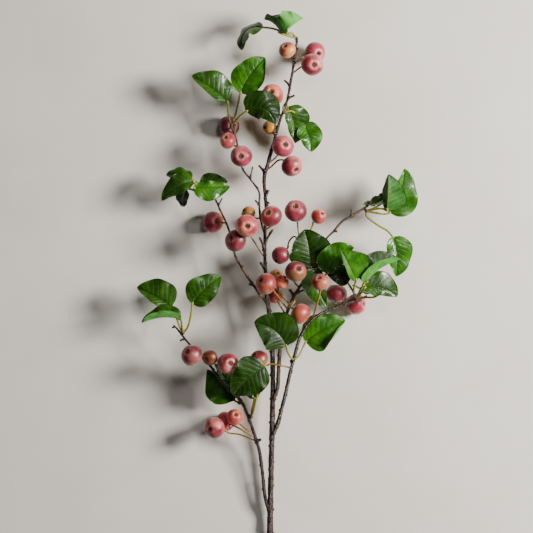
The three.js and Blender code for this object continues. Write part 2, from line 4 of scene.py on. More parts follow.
import bpy
import numpy as np
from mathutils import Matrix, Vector


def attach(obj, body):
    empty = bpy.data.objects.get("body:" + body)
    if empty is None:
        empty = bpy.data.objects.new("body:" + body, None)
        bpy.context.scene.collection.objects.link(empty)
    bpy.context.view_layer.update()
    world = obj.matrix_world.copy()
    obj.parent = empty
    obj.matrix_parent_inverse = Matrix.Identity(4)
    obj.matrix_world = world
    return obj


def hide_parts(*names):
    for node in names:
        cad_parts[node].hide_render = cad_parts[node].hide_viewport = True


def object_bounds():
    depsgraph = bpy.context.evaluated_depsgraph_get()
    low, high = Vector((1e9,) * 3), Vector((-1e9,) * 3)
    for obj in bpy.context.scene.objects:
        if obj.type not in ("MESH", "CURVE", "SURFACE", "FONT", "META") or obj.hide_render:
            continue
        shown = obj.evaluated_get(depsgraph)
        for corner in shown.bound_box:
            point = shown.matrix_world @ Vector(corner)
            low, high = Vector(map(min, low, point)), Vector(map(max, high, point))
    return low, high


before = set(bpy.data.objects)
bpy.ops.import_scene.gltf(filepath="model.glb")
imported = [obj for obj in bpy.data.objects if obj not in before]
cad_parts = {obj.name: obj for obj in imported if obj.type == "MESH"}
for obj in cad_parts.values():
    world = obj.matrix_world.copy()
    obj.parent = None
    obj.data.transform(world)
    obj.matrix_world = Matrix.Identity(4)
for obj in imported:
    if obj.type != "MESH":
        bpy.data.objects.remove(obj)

cad_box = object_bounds()

# ------------------------------------------------------------------ stem and twigs
# The main stem and its six side twigs: grown wood under a thin glossy bark, with ring scars
# where old buds dropped, pale pores and short broken stubs. Each twig swells where it leaves
# the stem. Routes are [x, y, z, radius] in millimetres, from the wood it grows on to the tip.
MM = 0.001
# Added to every place, so that the sprig lies centred on the frame.
MIDDLE = np.array([-1.0, 5.5, 0.0])
STEM_NODES = ("lower_stem", "middle_stem", "upper_stem", "stem_tip")
OLD_WOOD = ("main_stem", "right_branch", "lower_left_branch")
STEM_SIDES = 32
TWIG_SIDES = 20
FORK_SIDES = 16
STUB_SIDES = 12
WOOD_STEP = 0.9
FORK_STEP = 0.8
STUB_STEP = 0.6
TWIG_FLARE = 0.9
FORK_FLARE = 0.6
FLARE_LENGTH = 5.0
RING_SPACING = 11.0
# Moves the ring scars of each wood against those of the one before, in ring spacings.
RING_SHIFT = 0.37
# Heights are shares of the wood's radius. The scar's width is a share of the ring spacing, the
# knob's length is in millimetres and its turn in radians.
SWELL_HEIGHT = 0.07
SCAR_HEIGHT = 0.13
SCAR_WIDTH = 0.045
KNOB_HEIGHT = 0.42
KNOB_LENGTH = 1.5
KNOB_TURN = 0.45
# Wrinkles that wind round the wood: how many, how high, turn per millimetre, share of the shift.
WRINKLES = ((3, 0.030, 0.16, 1), (7, 0.022, -0.45, 2), (11, 0.014, 1.3, 0))
# A stub along its length: [share of its length, share of its radius].
STUB_SHAPE = ((0, 1.35), (0.2, 0.95), (0.55, 0.85), (0.85, 0.95), (1, 0.75))
STUB_MOST = 1.7
STUB_BEND = 0.12
WOOD = {
    "main_stem": [
        [-10.5, -408, 4.5, 4.5], [-9.5, -313.5, 9, 4.4], [-8, -226.5, 16, 3.8],
        [-6.5, -163, 24, 3.8], [-5.5, -95.5, 34, 3.5], [-8, -34, 42, 3.3],
        [-13.5, 12.5, 47, 2.9], [-16, 51.5, 50, 2.4], [-16.5, 88, 53, 2.2],
        [-15, 134, 55, 2.2], [-17.5, 168, 56, 2.5], [-13.5, 188, 57, 2.6],
        [-4.5, 219.5, 57, 2.2], [4, 250, 56, 1.9], [13.5, 276.5, 53, 1.8],
        [18.5, 302.5, 50, 1.8], [23, 330, 45, 1.7], [27, 358.5, 42, 1.5]],
    "right_branch": [
        [-5, -176, 23.5, 2.8], [1, -162.5, 27, 3], [6, -143.5, 30, 2.7], [13, -115, 34, 2.6],
        [18.5, -89.5, 38, 2.5], [24, -69, 41, 2.4], [29.5, -48, 44, 2.3], [36, -34.5, 47, 2.2],
        [44.5, -23, 50, 2.1], [57.5, -12.5, 52, 2], [72, -6, 52, 1.9], [86, -0.5, 51, 1.8],
        [99.5, 3.5, 50, 1.7], [113.5, 9, 48, 1.4], [122, 13, 46, 1]],
    "lower_left_branch": [
        [-11, -282, 12.5, 2.2], [-16, -264.5, 16, 2.5], [-19, -237, 19, 2.4], [-23, -205, 23, 2.4],
        [-28, -185.5, 27, 2.4], [-38.5, -154, 34, 2.2], [-49.5, -129, 40, 2.1],
        [-63.5, -116, 44, 2], [-80, -96.5, 48, 1.9], [-90, -83, 47, 1.8], [-101.5, -69, 46, 1.7],
        [-117.5, -54, 46, 1.6], [-127, -43, 46, 1.5], [-134, -34, 45, 1.4], [-140.5, -27, 44, 1.1]],
    "centre_branch": [
        [-4, -126, 31, 2.4], [1, -112, 36, 2.6], [2.5, -81.5, 41, 2.8], [5, -54, 43, 2.7],
        [9.5, -27, 44, 2.5], [14.5, -8, 44, 2.3], [20, 5, 44, 2.2], [24.5, 14.5, 44, 2.1],
        [32, 26.5, 46, 1.8], [39.5, 42, 48, 1.6], [49, 64, 48, 1.5], [66.5, 89.5, 48, 1.4],
        [77.5, 101, 50, 1.6], [88.5, 113.5, 51, 1.7], [101, 120.5, 52, 1.8], [112, 127.5, 52, 1.8],
        [121, 133.5, 52, 1.6], [126.5, 141, 52, 1.2]],
    "left_branch": [
        [-14, 4, 46, 1.7], [-22.5, 14, 49, 1.9], [-32.5, 28, 49, 1.8], [-41.5, 41, 50, 1.8],
        [-49.5, 54, 50, 1.7], [-56, 66, 49, 1.7], [-59.5, 79, 47, 1.6], [-64, 98, 45, 1.5],
        [-69, 112, 44, 1.5], [-77.5, 130, 45, 1.4], [-85.5, 147.5, 47, 1.3], [-91, 149, 48, 1.2]],
    "upper_left_branch": [
        [-16.5, 98, 53, 1.4], [-20.5, 108.5, 55, 1.5], [-23, 122, 55, 1.5], [-24, 138, 55, 1.5],
        [-24.5, 154, 54, 1.5], [-35.5, 170, 50, 1.4], [-46.5, 184.5, 47, 1.4],
        [-52, 203.5, 45, 1.4], [-54, 218.5, 44, 1.3], [-56.5, 229.5, 44, 1.3],
        [-61.5, 241.5, 46, 1.2]],
    "fruit_twig": [
        [42, 49, 48, 1.3], [38, 56, 44, 1.4], [37, 72, 42, 1.3], [31.5, 87, 43, 1.3],
        [23, 93, 46, 1.2], [16.5, 86.5, 48, 1.1], [14.5, 79, 49, 1.1]],
}
FORK = [[25, 15.5, 44, 1.2], [35.5, 20.5, 46, 1.3], [41, 25, 47, 1.2]]
# Broken stubs and bud knobs: [share of the way along its wood, the way it points, length].
STUBS = {
    "main_stem": [
        [0.762, (-0.7, 0.7, 0.3), 12], [0.722, (0.55, 0.8, 0.3), 7], [0.705, (0.7, 0.7, 0.2), 4],
        [0.897, (0.88, 0.47, 0.2), 10], [0.92, (-0.6, 0.8, 0.2), 10], [0.594, (-0.58, 0.8, 0.3), 9],
        [0.64, (0.42, 0.9, 0.5), 20], [0.625, (-0.22, 0.95, 0.5), 23], [0.36, (1, 0.5, 0.3), 3],
        [0.965, (-0.9, 0.3, 0.2), 3], [0.985, (0.9, 0.5, 0.3), 3], [0.83, (-0.8, 0.6, 0.3), 4]],
    "right_branch": [[0.412, (-0.7, 0.6, 0.5), 3], [0.62, (-0.5, 0.8, 0.3), 3], [0.86, (0.2, 1, 0.2), 3]],
    "lower_left_branch": [
        [0.33, (0.9, 0.4, 0.3), 5], [0.45, (0.7, 0.7, 0.3), 3], [0.919, (-0.98, -0.2, 0.2), 7],
        [0.6, (-0.8, 0.5, 0.3), 3], [0.99, (-0.9, -0.4, 0.2), 4]],
    "centre_branch": [
        [0.46, (-0.47, 0.88, 0.3), 11], [0.894, (0.2, 0.98, 0.2), 10], [0.972, (0.7, 0.7, 0.3), 9],
        [0.8, (0.6, -0.7, 0.3), 3]],
    "left_branch": [[0.883, (0.4, 0.9, 0.2), 10], [0.181, (-0.9, 0.3, 0.3), 5], [0.35, (0.8, 0.5, 0.3), 3]],
    "upper_left_branch": [
        [0.509, (0.08, 1, 0.2), 17], [0.25, (-0.5, 0.85, 0.2), 8], [0.8, (0.8, 0.5, 0.3), 3]],
    "fruit_twig": [[0.2, (0.9, 0.4, 0.3), 3]],
}


def paint(code):
    """A six-figure colour code, as the linear light that a shader wants."""
    parts = [int(code[i:i + 2], 16) / 255 for i in (0, 2, 4)]
    return [p / 12.92 if p < 0.04045 else ((p + 0.055) / 1.055) ** 2.4 for p in parts] + [1.0]


def smooth_route(points, step):
    """Evenly spaced points on a smooth curve through the given ones; every column is carried."""
    known = np.array(points, float)
    ends = [2 * known[0] - known[1], *known, 2 * known[-1] - known[-2]]
    fine = []
    for i in range(1, len(ends) - 2):
        before, here, there, after = ends[i - 1:i + 3]
        for f in np.linspace(0, 1, 40, endpoint=False):
            bend = (there - before) * f + (2 * before - 5 * here + 4 * there - after) * f ** 2
            fine.append(here + 0.5 * (bend + (3 * here - before - 3 * there + after) * f ** 3))
    fine = np.array(fine + [known[-1]])
    along = np.r_[0, np.cumsum(np.linalg.norm(np.diff(fine[:, :3], axis=0), axis=1))]
    spots = np.linspace(0, along[-1], max(3, round(along[-1] / step) + 1))
    return np.column_stack([np.interp(spots, along, fine[:, k]) for k in range(fine.shape[1])]), spots


def rings_of(route, sides, start=(0, 0, 1)):
    """The way a route runs at each point, the arrows out to a ring round it, and their angles."""
    along = np.gradient(route[:, :3], axis=0)
    along /= np.linalg.norm(along, axis=1)[:, None]
    side = np.array(start, float)
    sides_of = []
    for arrow in along:
        side = side - side.dot(arrow) * arrow
        side /= np.linalg.norm(side)
        sides_of.append(side)
    side = np.array(sides_of)
    across = np.cross(along, side)
    angle = np.linspace(0, 2 * math.pi, sides, endpoint=False)
    out = side[:, None] * np.cos(angle)[None, :, None] + across[:, None] * np.sin(angle)[None, :, None]
    return along, out, angle


def tube_faces(rows, sides, first=0):
    """Quads between rows of points round a closed tube, and a flat cap at each end."""
    faces = []
    for i in range(rows - 1):
        for j in range(sides):
            a, b = first + i * sides + j, first + i * sides + (j + 1) % sides
            faces.append((a, b, b + sides, a + sides))
    faces.append(tuple(first + j for j in reversed(range(sides))))
    faces.append(tuple(first + (rows - 1) * sides + j for j in range(sides)))
    return faces


def make_piece(name, points, faces, material, node, flats=None, places=None):
    """A mesh piece in the sprig's own millimetres, which stands for a CAD node."""
    mesh = bpy.data.meshes.new(name)
    mesh.from_pydata((np.asarray(points) * MM).tolist(), [], faces)
    if flats is not None:
        layer = mesh.uv_layers.new(name="flat")
        corner = np.empty(len(mesh.loops), int)
        mesh.loops.foreach_get("vertex_index", corner)
        spread_out = np.asarray(flats, float)[corner]
        for face in mesh.polygons:
            part = spread_out[face.loop_start:face.loop_start + face.loop_total]
            if len(part) == 4 and part[:, 0].max() - part[:, 0].min() > 0.5:
                part[part[:, 0] < 0.5, 0] += 1
        layer.data.foreach_set("uv", spread_out.ravel())
    for each in material if isinstance(material, list) else [material]:
        mesh.materials.append(each)
    if places is not None:
        mesh.polygons.foreach_set("material_index", places)
    mesh.validate()
    mesh.polygons.foreach_set("use_smooth", [True] * len(mesh.polygons))
    piece = bpy.data.objects.new(name, mesh)
    bpy.context.collection.objects.link(piece)
    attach(piece, "root")
    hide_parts(*([node] if isinstance(node, str) else node))


def new_group(name, inputs, outputs):
    """A shader node group with its named sockets, and its two end nodes."""
    group = bpy.data.node_groups.new(name, "ShaderNodeTree")
    for label, kind, value in inputs:
        socket = group.interface.new_socket(label, in_out="INPUT", socket_type=kind)
        if value is not None:
            socket.default_value = value
    for label, kind in outputs:
        group.interface.new_socket(label, in_out="OUTPUT", socket_type=kind)
    return group, group.nodes.new("NodeGroupInput"), group.nodes.new("NodeGroupOutput")


def wire(tree, kind, sources=None, **settings):
    """Adds a node, sets it, and plugs its inputs: a socket is linked, anything else is a value."""
    node = tree.nodes.new(kind)
    for key, value in settings.items():
        setattr(node, key, value)
    for key, source in (sources or {}).items():
        if isinstance(source, bpy.types.NodeSocket):
            tree.links.new(source, node.inputs[key])
        else:
            node.inputs[key].default_value = source
    return node


def sums(tree, operation, a, b=0.0, clamp=False):
    """One step of arithmetic in a shader."""
    return wire(tree, "ShaderNodeMath", {0: a, 1: b}, operation=operation, use_clamp=clamp).outputs[0]


def blend_colours(tree, share, low, high):
    """The colour a given share of the way from low to high."""
    node = wire(tree, "ShaderNodeMix", {"Factor": share, 6: low, 7: high}, data_type="RGBA")
    return node.outputs[2]


def remap(tree, value, start, end, low=0.0, high=1.0, smooth=True):
    """Goes from low to high while a value goes from start to end, eased at both ends if smooth."""
    node = wire(tree, "ShaderNodeMapRange",
                {"Value": value, "From Min": start, "From Max": end, "To Min": low, "To Max": high},
                interpolation_type="SMOOTHSTEP" if smooth else "LINEAR")
    return node.outputs["Result"]


def noise(tree, where, scale, detail):
    """Soft random clouds."""
    node = wire(tree, "ShaderNodeTexNoise", {"Vector": where, "Scale": scale, "Detail": detail})
    return node.outputs["Fac"]


# Mottling: cloudy patches between two colours. Used on bark, skins, stalks and leaves.
mottle, pin, pout = new_group(
    "mottle",
    [("Vector", "NodeSocketVector", None), ("Scale", "NodeSocketFloat", 100.0),
     ("Low", "NodeSocketColor", None), ("High", "NodeSocketColor", None),
     ("From", "NodeSocketFloat", 0.35), ("To", "NodeSocketFloat", 0.65)],
    [("Color", "NodeSocketColor"), ("Mask", "NodeSocketFloat")])
clouds = wire(mottle, "ShaderNodeTexNoise",
              {"Vector": pin.outputs["Vector"], "Scale": pin.outputs["Scale"],
               "Detail": 4.0, "Roughness": 0.6})
spread = remap(mottle, clouds.outputs["Fac"], pin.outputs["From"], pin.outputs["To"])
mottle.links.new(spread, pout.inputs["Mask"])
mottle.links.new(blend_colours(mottle, spread, pin.outputs["Low"], pin.outputs["High"]),
                 pout.inputs["Color"])

# Pores: small round dots, scattered. Used on bark and skins.
pores, pin, pout = new_group(
    "pores",
    [("Vector", "NodeSocketVector", None), ("Scale", "NodeSocketFloat", 400.0),
     ("Size", "NodeSocketFloat", 0.2)],
    [("Mask", "NodeSocketFloat")])
cells = wire(pores, "ShaderNodeTexVoronoi",
             {"Vector": pin.outputs["Vector"], "Scale": pin.outputs["Scale"]})
pores.links.new(remap(pores, cells.outputs["Distance"], pin.outputs["Size"], 0.0), pout.inputs["Mask"])


def new_material(name):
    """A new material, its nodes and shader, and places on it: in space and on the flat."""
    material = bpy.data.materials.new(name)
    material.use_nodes = True
    tree = material.node_tree
    where = wire(tree, "ShaderNodeTexCoord").outputs["Object"]
    flat = wire(tree, "ShaderNodeUVMap", uv_map="flat").outputs[0]
    return material, tree, tree.nodes["Principled BSDF"], where, flat


def emboss(tree, height, strength, distance):
    """Raises a material's surface by a pattern; the distance is in metres."""
    bump = wire(tree, "ShaderNodeBump", {"Height": height, "Strength": strength, "Distance": distance})
    tree.links.new(bump.outputs[0], tree.nodes["Principled BSDF"].inputs["Normal"])


def bark_material(name, dark, light, pore, roughness):
    """Smooth young bark: cloudy browns, pale pores, and fine rings round the wood."""
    material, tree, shader, where, flat = new_material(name)
    body = wire(tree, "ShaderNodeGroup", {"Vector": where, "Scale": 190.0, "Low": dark, "High": light,
                                          "From": 0.38, "To": 0.7}, node_tree=mottle)
    specks = wire(tree, "ShaderNodeGroup", {"Vector": where, "Scale": 420.0, "Size": 0.34},
                  node_tree=pores).outputs["Mask"]
    rare = wire(tree, "ShaderNodeGroup", {"Vector": where, "Scale": 90.0, "From": 0.52, "To": 0.6},
                node_tree=mottle).outputs["Mask"]
    shown = sums(tree, "MULTIPLY", specks, rare)
    colour = blend_colours(tree, sums(tree, "MULTIPLY", shown, 0.75), body.outputs["Color"], pore)
    tree.links.new(colour, shader.inputs["Base Color"])
    rings = wire(tree, "ShaderNodeTexWave", {"Vector": flat, "Scale": 9.0, "Distortion": 3.0,
                                             "Detail": 2.0, "Detail Scale": 2.0},
                 bands_direction="Y").outputs["Fac"]
    grain = sums(tree, "ADD", noise(tree, where, 900.0, 3.0), sums(tree, "MULTIPLY", shown, 0.8))
    emboss(tree, sums(tree, "ADD", sums(tree, "MULTIPLY", rings, 0.5), grain), 0.55, 0.0004)
    gloss = remap(tree, body.outputs["Mask"], 0.0, 1.0, roughness, roughness + 0.16, smooth=False)
    tree.links.new(gloss, shader.inputs["Roughness"])
    return material


old_bark = bark_material("old_bark", paint("160b07"), paint("3e2413"), paint("8c6c48"), 0.26)
young_bark = bark_material("young_bark", paint("25150b"), paint("5c3c1e"), paint("987c50"), 0.32)
wood_lines = {}


def bark_rod(route, sides, step, phase, flare):
    """One length of wood with ring scars, knobs and wrinkles: its middle line, the way that runs,
    its points, its flat places and how many rings it has."""
    line, spots = smooth_route(route, step)
    along, out, angle = rings_of(line, sides)
    radius = line[:, 3].copy()
    ring = (spots / RING_SPACING + phase) % 1.0
    ring += 0.05 * np.sin(spots * 0.9 + phase * 9)
    scar = np.exp(-((ring - 0.5) / SCAR_WIDTH) ** 2)
    radius *= 1 + SCAR_HEIGHT * scar + SWELL_HEIGHT * np.sin(spots * 0.31 + 7 * phase) * np.sin(spots * 0.117)
    radius += flare * np.exp(-spots / FLARE_LENGTH)
    wrinkle = sum(high * np.sin(count * angle[None] + spots[:, None] * wind + shift * phase)
                  for count, high, wind, shift in WRINKLES)
    for spot in np.arange(RING_SPACING * (0.5 - phase % 1), spots[-1], RING_SPACING):
        bud = 2.1 * spot + 5 * phase
        near = np.exp(-((spots - spot - 0.8) / KNOB_LENGTH) ** 2)[:, None]
        turn = (angle[None] - bud + math.pi) % (2 * math.pi) - math.pi
        wrinkle = wrinkle + KNOB_HEIGHT * near * np.exp(-(turn / KNOB_TURN) ** 2)
    around = radius[:, None] * (1 + wrinkle)
    points = line[:, None, :3] + out * around[:, :, None]
    flats = np.stack(np.broadcast_arrays(angle[None] / (2 * math.pi), spots[:, None] / 10), -1)
    return line, along, points.reshape(-1, 3), flats.reshape(-1, 2), len(line)


def broken_stub(line, along, share, points_to, length, seed):
    """A short snapped side shoot, thicker at its foot and ragged at its end."""
    draw = random.Random(seed)
    at = round(share * (len(line) - 1))
    way = np.array(points_to, float)
    way -= way.dot(along[at]) * along[at] * 0.25
    way /= np.linalg.norm(way)
    thick = min(line[at, 3] * 0.75, STUB_MOST)
    bend = np.array([draw.uniform(-1, 1) for _ in range(3)]) * STUB_BEND * length
    reach = line[at, 3] * 0.6
    route = [[*(line[at, :3] + way * (reach + length * f) + bend * f * f), thick * r]
             for f, r in STUB_SHAPE]
    return bark_rod(route, STUB_SIDES, STUB_STEP, draw.random(), thick * 0.8)


for number, (name, route) in enumerate(WOOD.items()):
    is_stem = name == "main_stem"
    rods = [bark_rod(route, STEM_SIDES if is_stem else TWIG_SIDES, WOOD_STEP, RING_SHIFT * number,
                     0.0 if is_stem else TWIG_FLARE)]
    line, along = rods[0][:2]
    wood_lines[name] = line + [*MIDDLE, 0]
    if name == "centre_branch":
        rods.append(bark_rod(FORK, FORK_SIDES, FORK_STEP, 0.2, FORK_FLARE))
    for k, (share, points_to, length) in enumerate(STUBS[name]):
        rods.append(broken_stub(line, along, share, points_to, length, 10 * number + k))
    points, faces, flats = [], [], []
    for _, _, rod_points, rod_flats, rings in rods:
        first = sum(len(p) for p in points)
        faces += tube_faces(rings, len(rod_points) // rings, first)
        points.append(rod_points)
        flats.append(rod_flats)
    make_piece(name + "_wood", np.concatenate(points) + MIDDLE, faces,
               old_bark if name in OLD_WOOD else young_bark,
               STEM_NODES if is_stem else name, np.concatenate(flats))

# ------------------------------------------------------------------ apples
# Small round apples, each a solid fruit with thin waxy skin. The stalk comes out of a cavity
# at one end, and the other end has a shallow basin with the dried star of the old flower.
# The stalk grew with the fruit. Stalk routes run to the wood, in millimetres.
FRUIT_ROWS = 44
FRUIT_SIDES = 56
BASIN_ROWS = 12
# The fruit's own shape, as shares of its radius.
LOBE_DEPTH = 0.018
BASIN_DEPTH = 0.15
BASIN_WIDTH = 0.4
PIT_DEPTH = 0.14
PIT_WIDTH = 0.23
CAVITY_DEPTH = 0.36
CAVITY_WIDTH = 0.3
# The dry star: leaves of the old flower, threads of its tuft, and points along and round a leaf.
STAR_LEAVES = 5
STAR_THREADS = 9
STAR_POINTS = 6
THREAD_SIDES = 5
# Stalks, in millimetres.
FRUIT_STALK_RADIUS = 1.25
FRUIT_STALK_FOOT = 1.95
STALK_SIDES = 12
STALK_STEP = 0.9
FOOT_LENGTH = 1.6
KNUCKLE_LENGTH = 1.5
# Each kind of skin has a deep, a main and a pale colour.
SKINS = {
    "rose": ("640f1e", "a83a4c", "e08c7e"),
    "blush": ("86242e", "b64a52", "e29a74"),
    "coral": ("7c2022", "ac423c", "d48058"),
    "wine": ("480c16", "7e2230", "ae5a4c"),
    "gold": ("84301c", "b0602c", "c99040"),
}
# Apples painted lighter or darker than the rest of their kind, as a share of its colours: partly their own
# ripeness, partly painted light and painted shade for how lit each one lies.
SHADE_AND_RIPENESS = {3: 1.15, 4: 1.4, 8: 0.6, 11: 2.0, 12: 0.6, 13: 1.2, 14: 1.2, 16: 0.85, 17: 1.3, 20: 0.85,
            22: 2.0, 23: 1.1, 25: 0.85, 26: 1.3, 27: 1.35, 28: 0.65, 29: 0.4, 33: 1.35, 34: 1.25}
# Sides coloured differently: the way they face, colour, strength. Most are the skin's own colour; apple 15's
# dark wine side is painted shade, and apple 19's olive-brown lower side is partly its own colour, partly
# painted shade.
COLOUR_AND_SHADE_PATCHES = {
    1: ((0.6, -0.6, 0.5), "d8923c", 0.8), 5: ((0.3, 0.1, 1), "c9973a", 0.6),
    14: ((0.2, -0.3, 0.9), "8f7a2e", 0.6), 15: ((0.9, -0.1, 0.4), "5a1420", 0.8),
    19: ((0, -0.8, 0.6), "7c5a2c", 0.75), 21: ((0.2, 0.2, 1), "c9973a", 0.5),
    24: ((-0.9, 0, 0.5), "9c5a2c", 0.75), 31: ((0.3, -0.7, 0.6), "8a6a2c", 0.7),
}
# Radius, height as a share of the width, the way the flower end faces, skin, and stalk route.
APPLES = [
    (11.5, 0.92, (-0.3, 0.5, 0.8), "blush", [[23.5, 332.5, 45]]),
    (14.4, 0.92, (0.42, -0.23, 0.88), "rose", [[35.5, 338.5, 26], [24.5, 329, 44.5]]),
    (15.1, 0.9, (0.2, -0.14, 0.97), "rose", [[33, 324, 36], [21, 314.5, 47]]),
    (15.2, 1.04, (-0.1, 0.33, 0.94), "coral", [[-2, 268, 38], [6, 254.5, 55]]),
    (10.3, 0.95, (-0.8, 0, 0.6), "gold", [[0, 233.5, 43], [-2, 227.5, 56]]),
    (14.8, 0.9, (0.25, 0.15, 0.96), "rose", [[0, 202, 53], [-12, 191, 57]]),
    (14.6, 0.92, (0.5, -0.47, 0.72), "rose", [[2, 196.5, 48], [-8, 187.5, 53], [-15, 182, 56.5]]),
    (14.4, 0.92, (-0.5, 0.1, -0.85), "wine", [[-57.5, 233.5, 45]]),
    (11.1, 0.95, (-0.32, 0.46, 0.83), "blush", [[-53.5, 216, 44]]),
    (14.7, 0.9, (-0.04, -0.03, 1), "rose", [[-50, 197, 46]]),
    (14.8, 0.88, (-0.6, 0, -0.8), "wine", [[-74, 112, 32], [-69, 112, 44]]),
    (15, 0.92, (-0.52, 0.26, 0.81), "rose", [[-60.5, 82, 47]]),
    (15.3, 0.92, (0.04, -0.09, 1), "blush", [[-35, 93, 58], [-23.5, 75, 54], [-16.5, 65, 51.5]]),
    (10.1, 0.95, (-0.75, 0.5, 0.4), "gold", [[-22, 117.5, 55]]),
    (14.7, 0.9, (-0.4, 0.4, 0.8), "blush", [[-8, 107, 56], [-16, 102, 54]]),
    (15.4, 0.9, (-0.09, 0.51, 0.86), "rose", [[28, 111.5, 42], [30.5, 87.5, 43]]),
    (10.7, 0.95, (0.56, 0.47, 0.68), "coral", [[47.5, 106, 42], [35, 79, 42.5]]),
    (11.9, 1.08, (-0.6, -0.65, 0.4), "wine", [[14.5, 79.5, 49]]),
    (14.4, 0.94, (0.3, 0.35, 0.89), "wine", [[24.5, 30, 52], [30.5, 24, 45.5]]),
    (14.2, 0.94, (-0.6, 0.4, 0.68), "coral", [[-4, 18.5, 56], [4, 8.5, 51], [15, -6.5, 44]]),
    (10.1, 0.95, (0.35, 0.59, 0.73), "gold", [[-10, 28.5, 38], [-14.5, 26.5, 48]]),
    (9.7, 0.95, (0.5, 0.7, 0.5), "coral", [[8.5, 11, 50], [17.5, 1, 44]]),
    (11.1, 0.95, (-0.3, 0.5, -0.8), "coral", [[4, 0, 46], [12.5, -14, 44]]),
    (14.6, 0.9, (0.75, -0.6, 0.2), "coral", [[23.5, 5, 56], [22, 9, 44]]),
    (11.9, 0.86, (-0.14, 0.64, 0.75), "coral",
     [[58, 19.5, 72], [56.5, 11, 67], [52, -5, 57], [48, -20, 50.5]]),
    (14.3, 0.92, (0.1, 0.98, -0.1), "wine", [[81.5, -2.5, 51.5]]),
    (15, 0.94, (0.88, 0.05, 0.42), "rose", [[91.5, -2, 14], [94, 1.5, 50.5]]),
    (14.4, 0.95, (-0.52, 0.43, 0.74), "rose", [[-105.5, -64.5, 46]]),
    (10.8, 0.95, (-0.51, -0.19, 0.84), "gold", [[-85.5, -75.5, 49], [-92, -80, 47]]),
    (14.4, 0.94, (0.35, 0.03, 0.94), "rose", [[-77, -84, 48], [-82.5, -93.5, 48]]),
    (12.7, 0.95, (-0.6, 0.6, 0.5), "coral", [[-8, -80, 46], [5.5, -82, 48], [20, -85.5, 38.5]]),
    (14.3, 0.93, (-0.52, -0.14, 0.84), "rose", [[-66.5, -174.5, 26], [-50.5, -177, 28], [-28, -186, 27]]),
    (14.2, 0.95, (-0.7, 0.3, -0.6), "blush", [[-49, -169.5, 32], [-37.5, -176.5, 32], [-30, -179.5, 28.5]]),
    (11.3, 0.92, (0.14, 0.43, 0.89), "coral", [[-49.5, -163, 32], [-40.5, -170.5, 33], [-33, -171, 30]]),
]


def fruit_middle(node):
    """The middle of an apple's solid, in millimetres, weighed from its own faces."""
    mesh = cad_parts[node].data
    mesh.calc_loop_triangles()
    corners = np.array([[mesh.vertices[i].co for i in t.vertices] for t in mesh.loop_triangles])
    share = np.einsum("ij,ij->i", corners[:, 0], np.cross(corners[:, 1], corners[:, 2]))
    return (corners.sum(1) * share[:, None]).sum(0) / (4 * share.sum()) / MM


